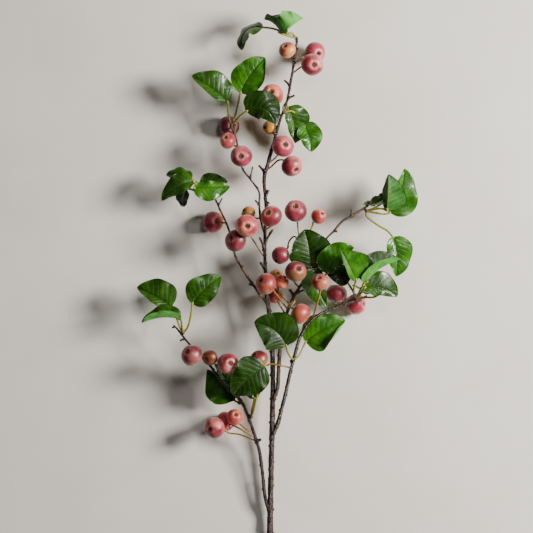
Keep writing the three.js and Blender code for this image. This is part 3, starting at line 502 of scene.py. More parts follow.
def skin_material(name, deep, main, pale, seed, middle, radius, colour_and_shade_patch):
    """Waxy apple skin: a deep flush over a paler ground, streaks down the fruit, fine dots, a pale ring of
    painted highlight round the flower-end basin and a dark pit that is partly painted shade.
    The pole value runs from 0 at the flower end to 1 at the stalk end."""
    material, tree, shader, seat, flat = new_material(name)
    where = wire(tree, "ShaderNodeVectorMath", {0: seat, 1: (seed * 0.031, seed * 0.017, 0)},
                 operation="ADD").outputs[0]
    place = wire(tree, "ShaderNodeSeparateXYZ", {0: flat})
    pole = place.outputs["Y"]
    turn = sums(tree, "MULTIPLY", place.outputs["X"], 2 * math.pi)
    ground = wire(tree, "ShaderNodeGroup", {"Vector": where, "Scale": 42.0, "Low": main, "High": deep,
                                            "From": 0.38, "To": 0.64}, node_tree=mottle)
    cloud = noise(tree, where, 60.0, 3.0)
    cheek = sums(tree, "MULTIPLY", sums(tree, "COSINE", sums(tree, "ADD", turn, seed * 1.7)), 0.26)
    sun = remap(tree, sums(tree, "ADD", cheek, cloud), 0.52, 0.86)
    # A pale ring round the flower-end basin: painted highlight on the basin's rim, blended in with the
    # sun-coloured cheek.
    ring = remap(tree, sums(tree, "ABSOLUTE", sums(tree, "SUBTRACT", pole, 0.125)), 0.085, 0.0)
    cheek_and_highlight_share = sums(tree, "MAXIMUM", sums(tree, "MULTIPLY", sun, 0.62), sums(tree, "MULTIPLY", ring, 0.5))
    colour = blend_colours(tree, cheek_and_highlight_share, ground.outputs["Color"], pale)
    round_place = wire(tree, "ShaderNodeCombineXYZ",
                       {"X": sums(tree, "MULTIPLY", sums(tree, "COSINE", turn), 6.5),
                        "Y": sums(tree, "MULTIPLY", sums(tree, "SINE", turn), 6.5),
                        "Z": sums(tree, "MULTIPLY", pole, 2.4)}).outputs[0]
    streaks = remap(tree, noise(tree, round_place, 1.0, 3.0), 0.5, 0.75, 0.0, 0.45, smooth=False)
    colour = blend_colours(tree, streaks, colour, deep)
    # One side blended to another colour: the skin's own colour, and painted shade on apples 15 and 19.
    if colour_and_shade_patch:
        way, code, strength = colour_and_shade_patch
        outward = Vector(way).normalized() / (radius * MM)
        aside = wire(tree, "ShaderNodeVectorMath", {0: seat, 1: Vector(middle) * MM},
                     operation="SUBTRACT").outputs[0]
        toward = wire(tree, "ShaderNodeVectorMath", {0: aside, 1: outward},
                      operation="DOT_PRODUCT").outputs["Value"]
        covered = sums(tree, "ADD", toward, sums(tree, "MULTIPLY", cloud, 0.8))
        colour = blend_colours(tree, remap(tree, covered, 0.6, 1.15, 0.0, strength), colour, paint(code))
    # Dark brown at the bottom of the flower-end basin: partly the dried flower end's own brown, partly
    # painted shade in the hollow.
    pit_brown_and_shade = remap(tree, pole, 0.084, 0.058)
    colour = blend_colours(tree, sums(tree, "MULTIPLY", pit_brown_and_shade, 0.72), colour, paint("3c2218"))
    dots = wire(tree, "ShaderNodeGroup", {"Vector": where, "Scale": 620.0, "Size": 0.25},
                node_tree=pores).outputs["Mask"]
    colour = blend_colours(tree, sums(tree, "MULTIPLY", dots, 0.3), colour, pale)
    tree.links.new(colour, shader.inputs["Base Color"])
    emboss(tree, sums(tree, "ADD", noise(tree, where, 700.0, 2.0), sums(tree, "MULTIPLY", dots, 0.5)),
           0.16, 0.0003)
    tree.links.new(remap(tree, cloud, 0.3, 0.7, 0.33, 0.45, smooth=False), shader.inputs["Roughness"])
    shader.inputs["Sheen Weight"].default_value = 0.25
    shader.inputs["Sheen Roughness"].default_value = 0.4
    return material


def stalk_material(name, green, brown):
    """A stalk's thin skin, green where it is young and brown where it has turned to wood."""
    material, tree, shader, where, flat = new_material(name)
    length = wire(tree, "ShaderNodeSeparateXYZ", {0: flat}).outputs["Y"]
    cloud = wire(tree, "ShaderNodeGroup", {"Vector": where, "Scale": 260.0}, node_tree=mottle).outputs["Mask"]
    share = sums(tree, "ADD", sums(tree, "POWER", length, 2.0), sums(tree, "MULTIPLY", cloud, 0.35),
                 clamp=True)
    tree.links.new(blend_colours(tree, share, green, brown), shader.inputs["Base Color"])
    emboss(tree, cloud, 0.4, 0.0002)
    shader.inputs["Roughness"].default_value = 0.42
    return material


fruit_stalk = stalk_material("fruit_stalk", paint("a5832c"), paint("5c3a1c"))
dry_flower = bark_material("dry_flower", paint("463026"), paint("8c6c58"), paint("b49a84"), 0.75)


def fruit_mesh(radius, tall, seed):
    """Rings from the flower end to the stalk end, round the fruit's own core along +Z, with their
    flat places and the heights of the basin's floor and the cavity's."""
    draw = random.Random(seed)
    down = np.concatenate([np.linspace(0.02, 0.3, BASIN_ROWS),
                           np.linspace(0.33, math.pi - 0.05, FRUIT_ROWS - BASIN_ROWS)])
    turn = np.linspace(0, 2 * math.pi, FRUIT_SIDES, endpoint=False)
    polar, around = np.meshgrid(down, turn, indexing="ij")
    out = np.sin(polar)
    up = -np.cos(polar)
    lobes = LOBE_DEPTH * np.cos(5 * around + draw.uniform(0, 6)) * (0.5 - 0.5 * up)
    lean = 0.03 * np.cos(around + draw.uniform(0, 6)) + 0.02 * np.cos(2 * around + draw.uniform(0, 6))
    width = out * (1 + 0.035 * up - 0.03 * up ** 2 + lobes + lean * 0.8)
    basin = BASIN_DEPTH * np.exp(-(out / BASIN_WIDTH) ** 2) + PIT_DEPTH * np.exp(-(out / PIT_WIDTH) ** 4)
    basin *= up < 0
    basin *= 1 + 0.12 * np.cos(5 * around)
    cavity = CAVITY_DEPTH * np.exp(-(out / CAVITY_WIDTH) ** 2) * (up > 0)
    height = (up * 0.985 + basin - cavity + 0.03 * lean) * tall
    points = np.stack([width * np.cos(around), width * np.sin(around), height], -1) * radius
    flats = np.stack([around / (2 * math.pi), polar / math.pi], -1)
    return points.reshape(-1, 3), flats.reshape(-1, 2), height[0].mean() * radius, height[-1].mean() * radius


def dry_star(radius, floor, seed):
    """Five shrivelled flower leaves round a tuft, at the bottom of the basin."""
    draw = random.Random(seed)
    points, faces = [], []
    size = 0.165 * radius + 0.2
    for k in range(STAR_LEAVES):
        turn = 2 * math.pi * k / STAR_LEAVES + draw.uniform(-0.15, 0.15)
        way = np.array([math.cos(turn), math.sin(turn), 0])
        aside = np.array([-way[1], way[0], 0])
        first = len(points)
        for f in np.linspace(0, 1, STAR_POINTS):
            middle = way * size * (0.15 + f) + [0, 0, floor - size * (0.25 + 0.55 * math.sin(f * 2.2))]
            half = size * 0.34 * (1 - f) ** 0.7 * (0.45 + f) + 0.03
            for s, lift in ((-1, 0.12), (0, -0.02), (1, 0.12), (1, 0.3), (0, 0.16), (-1, 0.3)):
                points.append(middle + aside * s * half + np.array([0, 0, lift * size * (1 - 0.5 * f)]))
        faces += tube_faces(STAR_POINTS, STAR_POINTS, first)
    for _ in range(STAR_THREADS):
        turn, lean = draw.uniform(0, 6.28), draw.uniform(0.05, 0.35)
        root = np.array([math.cos(turn), math.sin(turn), 0]) * size * 0.2
        tip = np.array([math.cos(turn) * lean, math.sin(turn) * lean, -0.75]) * size
        rod = np.array([[*(root + [0, 0, floor]), 0.16], [*(root + tip + [0, 0, floor]), 0.09]])
        _, ring, _ = rings_of(rod, THREAD_SIDES, (1, 0.2, 0))
        first = len(points)
        points += list((rod[:, None, :3] + ring * rod[:, 3][:, None, None]).reshape(-1, 3))
        faces += tube_faces(len(rod), THREAD_SIDES, first)
    return np.array(points), faces


def stalk_rod(route, thin, thick):
    """A thin stalk with a fat foot where it joins the wood, and its flat places."""
    route = [[*p[:3], thin] for p in route]
    line, spots = smooth_route(route, STALK_STEP)
    share = spots / spots[-1]
    _, ring, angle = rings_of(line, STALK_SIDES, (0.3, 0.2, 1))
    radius = thin * (1 + 0.05 * np.sin(spots * 1.1))
    radius = radius + (thick - thin) * np.exp(-((1 - share) * spots[-1] / FOOT_LENGTH) ** 2)
    radius = radius + 0.25 * thin * np.exp(-(share * spots[-1] / KNUCKLE_LENGTH) ** 2)
    points = line[:, None, :3] + ring * radius[:, None, None]
    flats = np.stack(np.broadcast_arrays(angle[None] / (2 * math.pi), share[:, None]), -1)
    return points.reshape(-1, 3), tube_faces(len(line), STALK_SIDES), flats.reshape(-1, 2)


for number, (radius, tall, flower, skin, route) in enumerate(APPLES, 1):
    node = "apple_%02d" % number
    core = -Vector(flower).normalized()
    turn = np.array(Vector((0, 0, 1)).rotation_difference(core).to_matrix())
    middle = fruit_middle(node)
    points, flats, floor, cavity = fruit_mesh(radius, tall, number)
    # Scales the skin's colours: partly ripeness, partly painted light and painted shade.
    shade_and_ripeness = SHADE_AND_RIPENESS.get(number, 1.0)
    deep, main, pale = ([c * shade_and_ripeness for c in paint(code)[:3]] + [1.0] for code in SKINS[skin])
    material = skin_material(node + "_skin", deep, main, pale, number, middle, radius, COLOUR_AND_SHADE_PATCHES.get(number))
    make_piece(node + "_fruit", points @ turn.T + middle, tube_faces(FRUIT_ROWS, FRUIT_SIDES),
               material, node, flats)
    points, faces = dry_star(radius, floor, number)
    make_piece(node + "_dry_flower", points @ turn.T + middle, faces, dry_flower, node,
               np.zeros((len(points), 2)))
    core = np.array(core)
    ends = [middle + core * (cavity - 0.6), middle + core * radius * tall * 1.25]
    ends += [np.array(p) + MIDDLE for p in route]
    points, faces, flats = stalk_rod(ends, FRUIT_STALK_RADIUS, FRUIT_STALK_FOOT)
    make_piece(node + "_stalk", points, faces, fruit_stalk, node, flats)

# ------------------------------------------------------------------ leaves
# Broad thin leaves on slender stalks, glossy above and dull pale green below, with a midrib,
# side veins and a finely toothed edge. Each spray's stalks rise from one bud-like spur.
LEAF_ROWS = 56
LEAF_COLUMNS = 32
LEAF_THICKNESS = 0.34
LEAF_STALK_RADIUS = 1.5
LEAF_STALK_FOOT = 2.0
SPUR_SIDES = 18
SPUR_STEP = 0.4
SPUR_FLARE = 0.7
SPUR_NECK = 1.5
SPUR_HEAD = 2.0
# The spur's end past its middle: [how far on, radius].
SPUR_END = ((1.6, 1.7), (2.6, 0.7))
VEINS = 8.0
VEIN_SLANT = 0.24
# How full the blade is towards its base and its tip: the lower, the fuller.
BASE_POWER = 0.45
TIP_POWER = 0.8
TEETH = 24
TOOTH_DEPTH = 0.012
LOPSIDED = 0.05
# How far the blade rises between its veins, dips along its midrib and waves at its edge.
PILLOW = 0.34
MIDRIB_DIP = 0.5
MIDRIB_WIDTH = 1.1
SLOW_WAVE = 1.2
QUICK_WAVE = 0.45
# Per spray, its spur and its leaves. Per leaf: stalk route, base, tip, how far the midrib bows,
# the way the upper face looks, the width, fold and curl of its right and left halves, how far
# its edge waves, and its tone of green. Millimetres and degrees.
SPRAYS = {
    "top_leaves": ((26.5, 362.5, 43), [
        ([[15, 366.5, 44], [-2.5, 374.5, 46]], (-19, 377, 46), (-48, 346.5, 40), (-9, 10, 0),
         (-0.35, 0.75, 0.45), (18, 18), (8, 8), (-25, -25), 1.2, "mid"),
        ([[16.5, 365, 48]], (5.5, 368, 52), (-17.5, 387.5, 50), (2, 3, 8),
         (0.35, 0.55, 0.75), (27, 18), (5, 50), (10, 60), 1.2, "deep"),
        ([[20.5, 368.5, 49], [13.5, 368.5, 52]], (12, 371.5, 56.5), (35.5, 388, 54), (0, 0, 6),
         (0.25, 0.2, -0.95), (23, 18), (-5, 110), (0, 10), 1.2, "mid")]),
    "upper_left_leaves": ((-62, 245, 47), [
        ([[-65, 253.5, 48], [-66.5, 265.5, 50]], (-67, 275.5, 52), (-115.5, 310.5, 56), (0, 2, 4),
         (-0.15, 0.1, 1), (26, 11), (4, 35), (-22, 10), 1.2, "mid"),
        ([[-56.5, 258, 46], [-53, 273, 46]], (-49.5, 288, 47), (-16, 335.5, 52), (-2, 2, 3),
         (0, 0, 1), (22, 23), (8, 4), (8, -8), 1.2, "bright"),
        ([[-55, 250.5, 53], [-48.5, 257, 61]], (-41.5, 261.5, 66), (-1.5, 243, 76), (4, 13, 4),
         (0.1, -0.1, 1), (18, 24), (-10, -6), (0, -8), 1.2, "deep")]),
    "upper_right_leaves": ((9.5, 261, 57), [
        ([[8.5, 267, 55.5], [10.5, 271.5, 51.5]], (14.5, 269.5, 47), (24.5, 220, 38), (3, 1, -2),
         (0.1, 0.1, 1), (12, 23), (30, 12), (0, -18), 3, "mid"),
        ([[20.5, 263, 46], [30, 255.5, 36]], (36, 246, 36), (46, 208, 42), (3, 0, 2),
         (0.05, 0.1, 1), (15, 19), (20, 10), (-10, -12), 2, "bright")]),
    "left_leaves": ((-94.5, 150, 48.5), [
        ([[-101.5, 153, 52], [-109.5, 162.5, 58]], (-113.5, 168, 60), (-156, 141.5, 54), (0, 5, 6),
         (-0.1, 0.35, 0.9), (18, 12), (8, 14), (-10, -10), 1.2, "mid"),
        ([[-102.5, 156.5, 47.5], [-109.5, 166.5, 50]], (-115.5, 171, 52), (-150.5, 177, 46), (0, 3, 2),
         (-0.1, 0.6, 0.75), (12, 12), (10, 10), (-10, -10), 1.2, "mid"),
        ([[-104.5, 151.5, 48], [-114.5, 156.5, 49]], (-122, 158, 50), (-125.5, 134, 34), (-3, -1, 0),
         (-0.2, 0.1, 0.95), (11, 8), (22, 22), (0, 0), 1.2, "deep"),
        ([[-99.5, 148.5, 56], [-108.5, 155, 60]], (-112, 159, 62), (-63.5, 161, 58), (0, -1, 3),
         (0, 0.25, 0.95), (18, 10), (0, 4), (-8, -6), 2, "bright"),
        ([[-99.5, 155.5, 50]], (-104, 163, 51), (-67, 167, 48), (0, 2, 1),
         (0.1, -0.4, 0.9), (11, 14), (5, 5), (0, 0), 1.2, "deep")]),
    "far_right_leaves": ((121, 127.5, 52.5), [
        ([[132.5, 132, 55], [144, 139.5, 58]], (148.5, 147.5, 58), (117, 137.5, 54), (0, -4, -1),
         (-0.1, 0.75, 0.6), (11, 11), (15, 15), (0, 0), 1.2, "mid"),
        ([[132.5, 130, 57], [142.5, 130.5, 61]], (148.5, 127.5, 62), (150, 176.5, 70), (0, 0, 5),
         (-0.2, 0, -1), (11, 26), (60, 0), (0, -10), 1.2, "mid"),
        ([[134, 125, 51.5], [145, 123.5, 50.5]], (152.5, 125, 50), (173, 185, 54), (4, -2, 1),
         (0.15, 0, 1), (27, 11), (4, 6), (-8, 0), 2, "bright"),
        ([[122.5, 119.5, 51.5], [137.5, 108, 50], [149.5, 101, 50]], (157, 92.5, 50), (162, 38.5, 46),
         (3, 0, 3), (0.1, 0, 1), (14, 22), (16, 6), (-6, -8), 1.2, "bright")]),
    "centre_leaves": ((44, 28, 48.5), [
        ([[44.5, 39.5, 53.5]], (46, 50.5, 58), (36.5, 102.5, 60), (2, 1, 4),
         (0, 0.05, 1), (30, 28), (16, 14), (-12, -14), 1.2, "deep"),
        ([[54, 35, 57]], (68, 43, 66), (103.5, 78.5, 72), (-5, 4, 2),
         (-0.1, 0, 1), (12, 22), (6, 10), (-6, -10), 2, "bright"),
        ([[48, 38, 52.5], [50.5, 46.5, 56]], (53.5, 51, 58), (68.5, -2.5, 53), (-6, 0, 4),
         (0, 0, 1), (20, 11), (6, 18), (-8, -10), 1.2, "mid")]),
    "right_leaves": ((107.5, 9, 52), [
        ([[104, 16.5, 57]], (96, 30, 61), (66, 46.5, 58), (0, 1, 0),
         (0, 0, 1), (18, 9), (4, 4), (0, 0), 1.2, "deep"),
        ([[103.5, 18, 63], [104, 26, 75]], (106, 34.5, 82), (85.5, 74.5, 90), (0, 0, 3),
         (0.1, 0, 1), (28, 11), (2, 40), (6, 10), 1.2, "bright"),
        ([[111, 18, 62], [114.5, 25, 71]], (116.5, 30, 76), (166, 62, 70), (-2, 4, 6),
         (-0.1, 0.3, 0.95), (15, 28), (118, 8), (0, 0), 1.2, "deep"),
        ([[113, 16, 58], [116, 20, 63]], (118.5, 24, 66), (163.5, 11.5, 56), (1, 5, 3),
         (0.05, 0.1, 1), (11, 23), (5, 4), (-4, -4), 1.2, "mid"),
        ([[120.5, 10.5, 54], [131, 11, 57]], (138, 15, 58), (101.5, 27.5, 66), (0, -2, 0),
         (0.25, 0.85, 0.3), (12, 12), (6, 6), (0, 0), 1.2, "mid")]),
    "lower_left_leaves": ((-127.5, -38, 48), [
        ([[-131.5, -29.5, 51], [-137.5, -13, 54.5]], (-142.5, -2.5, 56), (-190, 24, 50), (0, 2, 4),
         (-0.05, 0.1, 1), (27, 11), (4, 32), (-8, 0), 1.2, "mid"),
        ([[-121, -29.5, 50], [-116.5, -13.5, 52.5]], (-114.5, 2, 54), (-75.5, 39, 54), (-2, 2, 4),
         (0, 0, 1), (18, 22), (10, 8), (-8, -8), 1.2, "mid"),
        ([[-128.5, -29.5, 57]], (-129.5, -18.5, 68), (-183, -24, 60), (0, 5, 4),
         (-0.05, 0.3, 0.95), (18, 14), (2, 112), (-5, 12), 1.2, "mid")]),
    "low_centre_leaves": ((22.5, -74.5, 44), [
        ([[17, -68.5, 55], [13.5, -60, 65]], (12.5, -54.5, 72), (-31, -22.5, 76), (6, 5, 4),
         (0, 0, 1), (29, 27), (8, 14), (-8, -10), 1.2, "deep"),
        ([[30, -68.5, 38], [36, -57, 34]], (39, -50.5, 34), (93.5, -21, 36), (-2, 3, 4),
         (0, 0.1, 1), (27, 24), (8, 8), (10, -8), 1.2, "bright")]),
    "broad_leaves": ((-35, -152.5, 37), [
        ([[-32, -143.5, 45], [-27.5, -124, 56], [-20, -96.5, 65]], (-16.5, -81.5, 72), (-59, -121.5, 70),
         (-1, 3, 4), (0, 0, 1), (26, 26), (8, 8), (-8, -8), 1.2, "deep"),
        ([[-33.5, -141, 42]], (-30.5, -127, 50), (-39, -90.5, 50), (0, 0, -2),
         (0, 0, 1), (11, 11), (10, 10), (0, 0), 1.2, "deep")]),
    "low_twig_leaves": ((-51.5, -133.5, 36.5), [
        ([[-54.5, -132, 34]], (-58, -130, 32), (-95.5, -88, 30), (2, 3, 2),
         (-0.1, 0, 1), (9, 30), (40, 6), (0, -10), 1.2, "bright"),
        ([[-51.5, -130, 37]], (-53.5, -126.5, 37), (-85, -80, 39), (1, -1, -2),
         (0.1, 0, 1), (20, 8), (0, 40), (0, 0), 1.2, "mid")]),
}

# Veins, drawn from a blade's flat places: the midrib and the slanted side veins.
veins, pin, pout = new_group(
    "leaf_veins",
    [("Vector", "NodeSocketVector", None), ("Side Width", "NodeSocketFloat", 0.1),
     ("Midrib Width", "NodeSocketFloat", 0.07)],
    [("Mask", "NodeSocketFloat"), ("Midrib", "NodeSocketFloat")])
place = wire(veins, "ShaderNodeSeparateXYZ", {0: pin.outputs["Vector"]})
off_middle = sums(veins, "ABSOLUTE", sums(veins, "SUBTRACT", place.outputs["X"], 0.5))
reach = sums(veins, "MULTIPLY", off_middle, 2.0)
slant = sums(veins, "SUBTRACT", place.outputs["Y"], sums(veins, "MULTIPLY", reach, VEIN_SLANT))
phase = sums(veins, "FRACT", sums(veins, "MULTIPLY", slant, VEINS))
nearest = sums(veins, "MINIMUM", phase, sums(veins, "SUBTRACT", 1.0, phase))
side = remap(veins, nearest, pin.outputs["Side Width"], 0.0)
faded = sums(veins, "MULTIPLY", side,
             sums(veins, "SUBTRACT", 1.0, sums(veins, "MULTIPLY", reach, 0.75)))
rib = remap(veins, reach, pin.outputs["Midrib Width"], 0.0)
veins.links.new(sums(veins, "MAXIMUM", faded, rib), pout.inputs["Mask"])
veins.links.new(rib, pout.inputs["Midrib"])


def leaf_material(name, dark, light, vein, rib, roughness, coat, vein_share):
    """A leaf's face: cloudy green, veins and the fine net between them."""
    material, tree, shader, where, flat = new_material(name)
    body = wire(tree, "ShaderNodeGroup", {"Vector": where, "Scale": 70.0, "Low": dark, "High": light,
                                          "From": 0.34, "To": 0.68}, node_tree=mottle).outputs["Color"]
    lines = wire(tree, "ShaderNodeGroup", {"Vector": flat, "Side Width": 0.11, "Midrib Width": 0.075},
                 node_tree=veins)
    cells = wire(tree, "ShaderNodeTexVoronoi", {"Vector": where, "Scale": 620.0},
                 feature="DISTANCE_TO_EDGE")
    net = remap(tree, cells.outputs["Distance"], 0.09, 0.0, smooth=False)
    colour = blend_colours(tree, sums(tree, "MULTIPLY", net, 0.1), body, vein)
    colour = blend_colours(tree, sums(tree, "MULTIPLY", lines.outputs["Mask"], vein_share), colour, vein)
    # The midrib's colour. On upper faces its dark green is partly painted shade in the midrib's groove.
    colour = blend_colours(tree, sums(tree, "MULTIPLY", lines.outputs["Midrib"], 0.7), colour, rib)
    tree.links.new(colour, shader.inputs["Base Color"])
    height = sums(tree, "SUBTRACT", sums(tree, "MULTIPLY", net, -0.25), lines.outputs["Mask"])
    emboss(tree, height, 0.45, 0.0004)
    gloss = remap(tree, noise(tree, where, 120.0, 2.0), 0.3, 0.7, roughness - 0.05, roughness + 0.07,
                  smooth=False)
    tree.links.new(gloss, shader.inputs["Roughness"])
    shader.inputs["Specular IOR Level"].default_value = 0.36
    shader.inputs["Coat Weight"].default_value = coat
    shader.inputs["Coat Roughness"].default_value = 0.1
    return material


# Tones of the upper face and of the underside, each a dark and a light green.
TONES = {"deep": ("0d2101", "1d3c02"), "mid": ("163502", "2c5503"), "bright": ("1d4b02", "387204")}
UNDERSIDES = {"pale": ("3f8f30", "68b04c"), "soft": ("2a7018", "4c9430"), "green": ("174c08", "2c6c14")}
# Leaves whose underside is not the usual green: (spray, number) to tone.
UNDER_TONES = {("top_leaves", 3): "pale", ("lower_left_leaves", 3): "pale", ("low_centre_leaves", 2): "pale",
               ("right_leaves", 3): "soft", ("top_leaves", 1): "soft"}
# The upper faces' dark midrib green is partly its own colour, partly painted shade along the groove.
upper_face = {}
for tone, (dark, light) in TONES.items():
    upper_face[tone] = leaf_material("leaf_" + tone, paint(dark), paint(light), paint("5f8f2c"),
                                     paint("0d2a03"), 0.31, 0.22, 0.2)
under_face = {}
for tone, (dark, light) in UNDERSIDES.items():
    under_face[tone] = leaf_material("leaf_underside_" + tone, paint(dark), paint(light), paint("93bb66"),
                                     paint("a0c470"), 0.5, 0.0, 0.35)
leaf_stalk = stalk_material("leaf_stalk", paint("8a8f22"), paint("766a22"))


def from_midrib(slope):
    """Adds a slope up from the midrib out to both edges, as a share of the half width."""
    middle = LEAF_COLUMNS // 2
    each = (slope[:, :-1] + slope[:, 1:]) / 2
    left = -np.cumsum(each[:, :middle][:, ::-1], axis=1)[:, ::-1]
    right = np.cumsum(each[:, middle:], axis=1)
    return np.concatenate([left, np.zeros((LEAF_ROWS, 1)), right], axis=1) * (1 / middle)


def blade(base, tip, bow, face, wide, fold, curl, wave, seed, rolled):
    """The blade's middle surface as rows from base to tip, the way it looks, and its flat places."""
    base, tip, bow, face = (np.array(v, float) for v in (base, tip, bow, face))
    t = np.linspace(0.0, 1.0, LEAF_ROWS)[:, None]
    s = np.linspace(-1.0, 1.0, LEAF_COLUMNS + 1)[None, :]
    control = (base + tip) / 2 + 2 * bow
    midrib = (1 - t) ** 2 * base + 2 * t * (1 - t) * control + t ** 2 * tip
    along = 2 * (1 - t) * (control - base) + 2 * t * (tip - control)
    along /= np.linalg.norm(along, axis=1)[:, None]
    side = np.cross(along, face)
    side /= np.linalg.norm(side, axis=1)[:, None]
    up = np.cross(side, along)
    right = s >= 0
    reach = abs(s)
    halves = {"wide": wide, "fold": fold, "curl": curl}
    halves = {key: np.where(right, *pair) for key, pair in halves.items()}
    widest = BASE_POWER / (BASE_POWER + TIP_POWER)
    share = t ** BASE_POWER * (1 - t) ** TIP_POWER
    share = share / (widest ** BASE_POWER * (1 - widest) ** TIP_POWER)
    teeth = 1 + TOOTH_DEPTH * np.sin(2 * math.pi * TEETH * t + seed) * reach ** 6
    lobe = 1 + LOPSIDED * np.sin(2 * math.pi * (1.6 * t + 0.3 * seed)) * np.sign(s)
    width = halves["wide"] * share * teeth * lobe
    facing = np.radians(halves["fold"] + halves["curl"] * reach)
    if rolled:
        half, start, turn = rolled
        edge = np.clip((reach - start) / (1 - start), 0, 1) * (np.sign(s) == half)
        facing = facing + math.radians(turn) * np.sqrt(edge) * np.clip(1.6 * t - 0.35, 0, 1)
    facing = np.broadcast_to(facing, (LEAF_ROWS, LEAF_COLUMNS + 1))
    out = from_midrib(np.cos(facing)) * width
    rise = from_midrib(np.sin(facing) * np.where(right, 1, -1)) * width
    rise = rise + wave * np.sin(2 * math.pi * (2.5 * t + np.where(right, 0, 0.25))) * reach ** 2
    slow = np.sin(2 * math.pi * (1.1 * t + 0.17 * seed + 0.3 * np.sign(s)))
    rise = rise + SLOW_WAVE * slow * reach ** 1.5 * share
    quick = np.sin(2 * math.pi * (4.3 * t + 0.31 * seed + 0.2 * np.sign(s)))
    rise = rise + QUICK_WAVE * quick * reach ** 3 * share
    phase = (t - VEIN_SLANT * reach) * VEINS % 1.0
    pillow = PILLOW * (abs(np.sin(math.pi * phase)) ** 0.7) * (1 - reach ** 4) * share
    dip = MIDRIB_DIP * np.exp(-(reach * width / MIDRIB_WIDTH) ** 2) * (share > 0.2)
    rise = rise + pillow * np.minimum(1, reach * 4) - dip
    points = midrib[:, None] + side[:, None] * out[..., None] + up[:, None] * rise[..., None]
    normal = np.cross(np.gradient(points, axis=1), np.gradient(points, axis=0))
    size = np.linalg.norm(normal, axis=2, keepdims=True)
    normal = np.where(size > 1e-9, normal / np.maximum(size, 1e-9), up[:, None])
    flats = np.stack(np.broadcast_arrays((s + 1) / 2, t), -1)
    return points, normal, flats


def leaf_sheet(middle, normal):
    """A closed sheet round a blade's middle surface; places tells its underside and rim (1)
    from its upper face (0)."""
    rows, columns = middle.shape[:2]
    half = rows * columns
    upper = middle + normal * LEAF_THICKNESS / 2
    under = middle - normal * LEAF_THICKNESS / 2
    points = np.concatenate([upper.reshape(-1, 3), under.reshape(-1, 3)])
    faces, places = [], []
    for i in range(rows - 1):
        for j in range(columns - 1):
            a = i * columns + j
            faces.append((a, a + 1, a + columns + 1, a + columns))
            faces.append((half + a + columns, half + a + columns + 1, half + a + 1, half + a))
            places += [0, 1]
    rim = ([i * columns for i in range(rows)] + [(rows - 1) * columns + j for j in range(1, columns)]
           + [i * columns + columns - 1 for i in range(rows - 2, -1, -1)]
           + list(range(columns - 2, 0, -1)))
    for a, b in zip(rim, rim[1:] + rim[:1]):
        faces.append((b, a, half + a, half + b))
        places.append(1)
    return points, faces, places


# Leaves with one edge rolled: the half (1 right, -1 left), the share where it starts, and degrees.
ROLLED = {("low_centre_leaves", 2): (1, 0.62, 170), ("upper_left_leaves", 2): (1, 0.8, 60),
          ("far_right_leaves", 3): (1, 0.8, -50), ("right_leaves", 2): (-1, 0.75, 60)}
# Where a stalk runs on under its blade: (row of the blade, how far below its middle surface).
UNDER_BLADE = ((2, 1.2), (5, 1.75))
for spray, (spur, leaves) in SPRAYS.items():
    draw = random.Random(spray)
    centre = np.array(spur) + MIDDLE
    wood = min(wood_lines.values(), key=lambda line: np.linalg.norm(line[:, :3] - centre, axis=1).min())
    foot = wood[np.linalg.norm(wood[:, :3] - centre, axis=1).argmin(), :3]
    way = (centre - foot) / np.linalg.norm(centre - foot)
    neck = [[*foot, SPUR_NECK], [*(foot + (centre - foot) * 0.55), SPUR_NECK], [*centre, SPUR_HEAD]]
    neck += [[*(centre + way * on), radius] for on, radius in SPUR_END]
    _, _, points, flats, rings = bark_rod(neck, SPUR_SIDES, SPUR_STEP, draw.random(), SPUR_FLARE)
    make_piece(spray + "_spur", points, tube_faces(rings, SPUR_SIDES), young_bark, spray, flats)
    for k, (route, base, tip, bow, face, wide, fold, curl, wave, tone) in enumerate(leaves, 1):
        middle, normal, flats = blade(base, tip, bow, face, wide, fold, curl, wave, draw.uniform(0, 6),
                                      ROLLED.get((spray, k)))
        points, faces, places = leaf_sheet(middle, normal)
        flat = flats.reshape(-1, 2)
        make_piece("%s_blade_%d" % (spray, k), points + MIDDLE, faces,
                   [upper_face[tone], under_face[UNDER_TONES.get((spray, k), "green")]], spray,
                   np.concatenate([flat, flat]), places)
        rib = LEAF_COLUMNS // 2
        line = [middle[row, rib] - normal[row, rib] * drop for row, drop in reversed(UNDER_BLADE)]
        line += [base, *reversed(route), spur]
        points, faces, flats = stalk_rod([np.array(p, float) + MIDDLE for p in line],
                                         LEAF_STALK_RADIUS, LEAF_STALK_FOOT)
        make_piece("%s_stalk_%d" % (spray, k), points, faces, leaf_stalk, spray, flats)

# ------------------------------------------------------------------ setting
# The sprig lies on a plain pale floor under soft studio light from its right, and the camera
# looks straight down on it with a long lens.
# Metres, and the lens in millimetres. The camera stands a little aside of the sprig's middle.
FLOOR_REACH = 6
FLOOR_GAP = 0.0001
LENS = 150
CAMERA_HEIGHT = 3.06
CAMERA_ASIDE = (-0.015, 0.0576)
centre = [(high + low) / 2 for low, high in zip(*cad_box)]

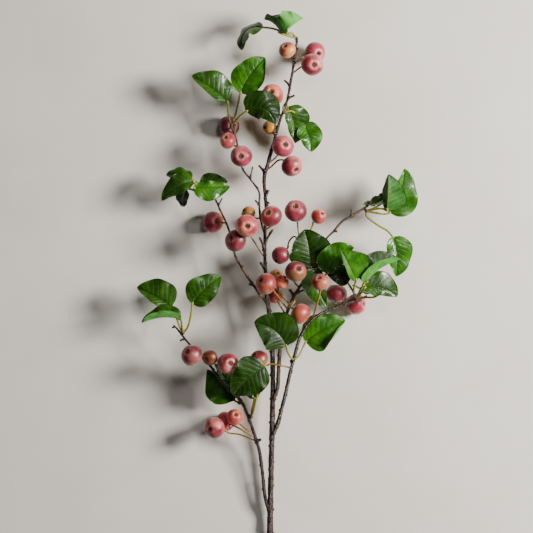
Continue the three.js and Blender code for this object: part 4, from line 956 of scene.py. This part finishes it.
floor_paint = bpy.data.materials.new("floor_paint")
floor_paint.use_nodes = True
tree = floor_paint.node_tree
where = wire(tree, "ShaderNodeTexCoord").outputs["Object"]
grain = wire(tree, "ShaderNodeGroup", {"Vector": where, "Scale": 6.0, "Low": paint("d9d4cb"),
                                       "High": paint("dedad2")}, node_tree=mottle)
tree.links.new(grain.outputs["Color"], tree.nodes["Principled BSDF"].inputs["Base Color"])
tree.nodes["Principled BSDF"].inputs["Roughness"].default_value = 0.9
mesh = bpy.data.meshes.new("floor")
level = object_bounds()[0][2] - FLOOR_GAP
corners = [(x * FLOOR_REACH, y * FLOOR_REACH, level) for x, y in ((-1, -1), (1, -1), (1, 1), (-1, 1))]
mesh.from_pydata(corners, [], [(0, 1, 2, 3)])
mesh.materials.append(floor_paint)
floor = bpy.data.objects.new("floor", mesh)
bpy.context.collection.objects.link(floor)


def softbox(name, place, power, width, tint):
    """A square soft light that faces the sprig; its place is in metres from the sprig's middle."""
    data = bpy.data.lights.new(name, "AREA")
    data.energy, data.size, data.color = power, width, tint
    lamp = bpy.data.objects.new(name, data)
    lamp.location = Vector(centre) + Vector(place)
    lamp.rotation_euler = (-Vector(place)).to_track_quat("-Z", "Y").to_euler()
    bpy.context.collection.objects.link(lamp)


softbox("key_light", (1.75, 0.45, 1.25), 128, 0.6, (1.0, 0.97, 0.93))
softbox("sheen_light", (0.5, 1.0, 2.3), 10, 0.4, (1.0, 0.99, 0.97))
softbox("low_light", (0.5, -1.9, 0.75), 6, 0.9, (1.0, 0.97, 0.94))
world = bpy.data.worlds.new("studio")
world.use_nodes = True
world.node_tree.nodes["Background"].inputs["Color"].default_value = (1, 0.985, 0.96, 1)
world.node_tree.nodes["Background"].inputs["Strength"].default_value = 0.035
bpy.context.scene.world = world

camera_data = bpy.data.cameras.new("camera")
camera_data.lens = LENS
camera_data.sensor_width = 36
camera_data.clip_end = 50
camera = bpy.data.objects.new("camera", camera_data)
camera.location = (centre[0] + CAMERA_ASIDE[0], centre[1] + CAMERA_ASIDE[1], CAMERA_HEIGHT)
bpy.context.collection.objects.link(camera)
bpy.context.scene.camera = camera
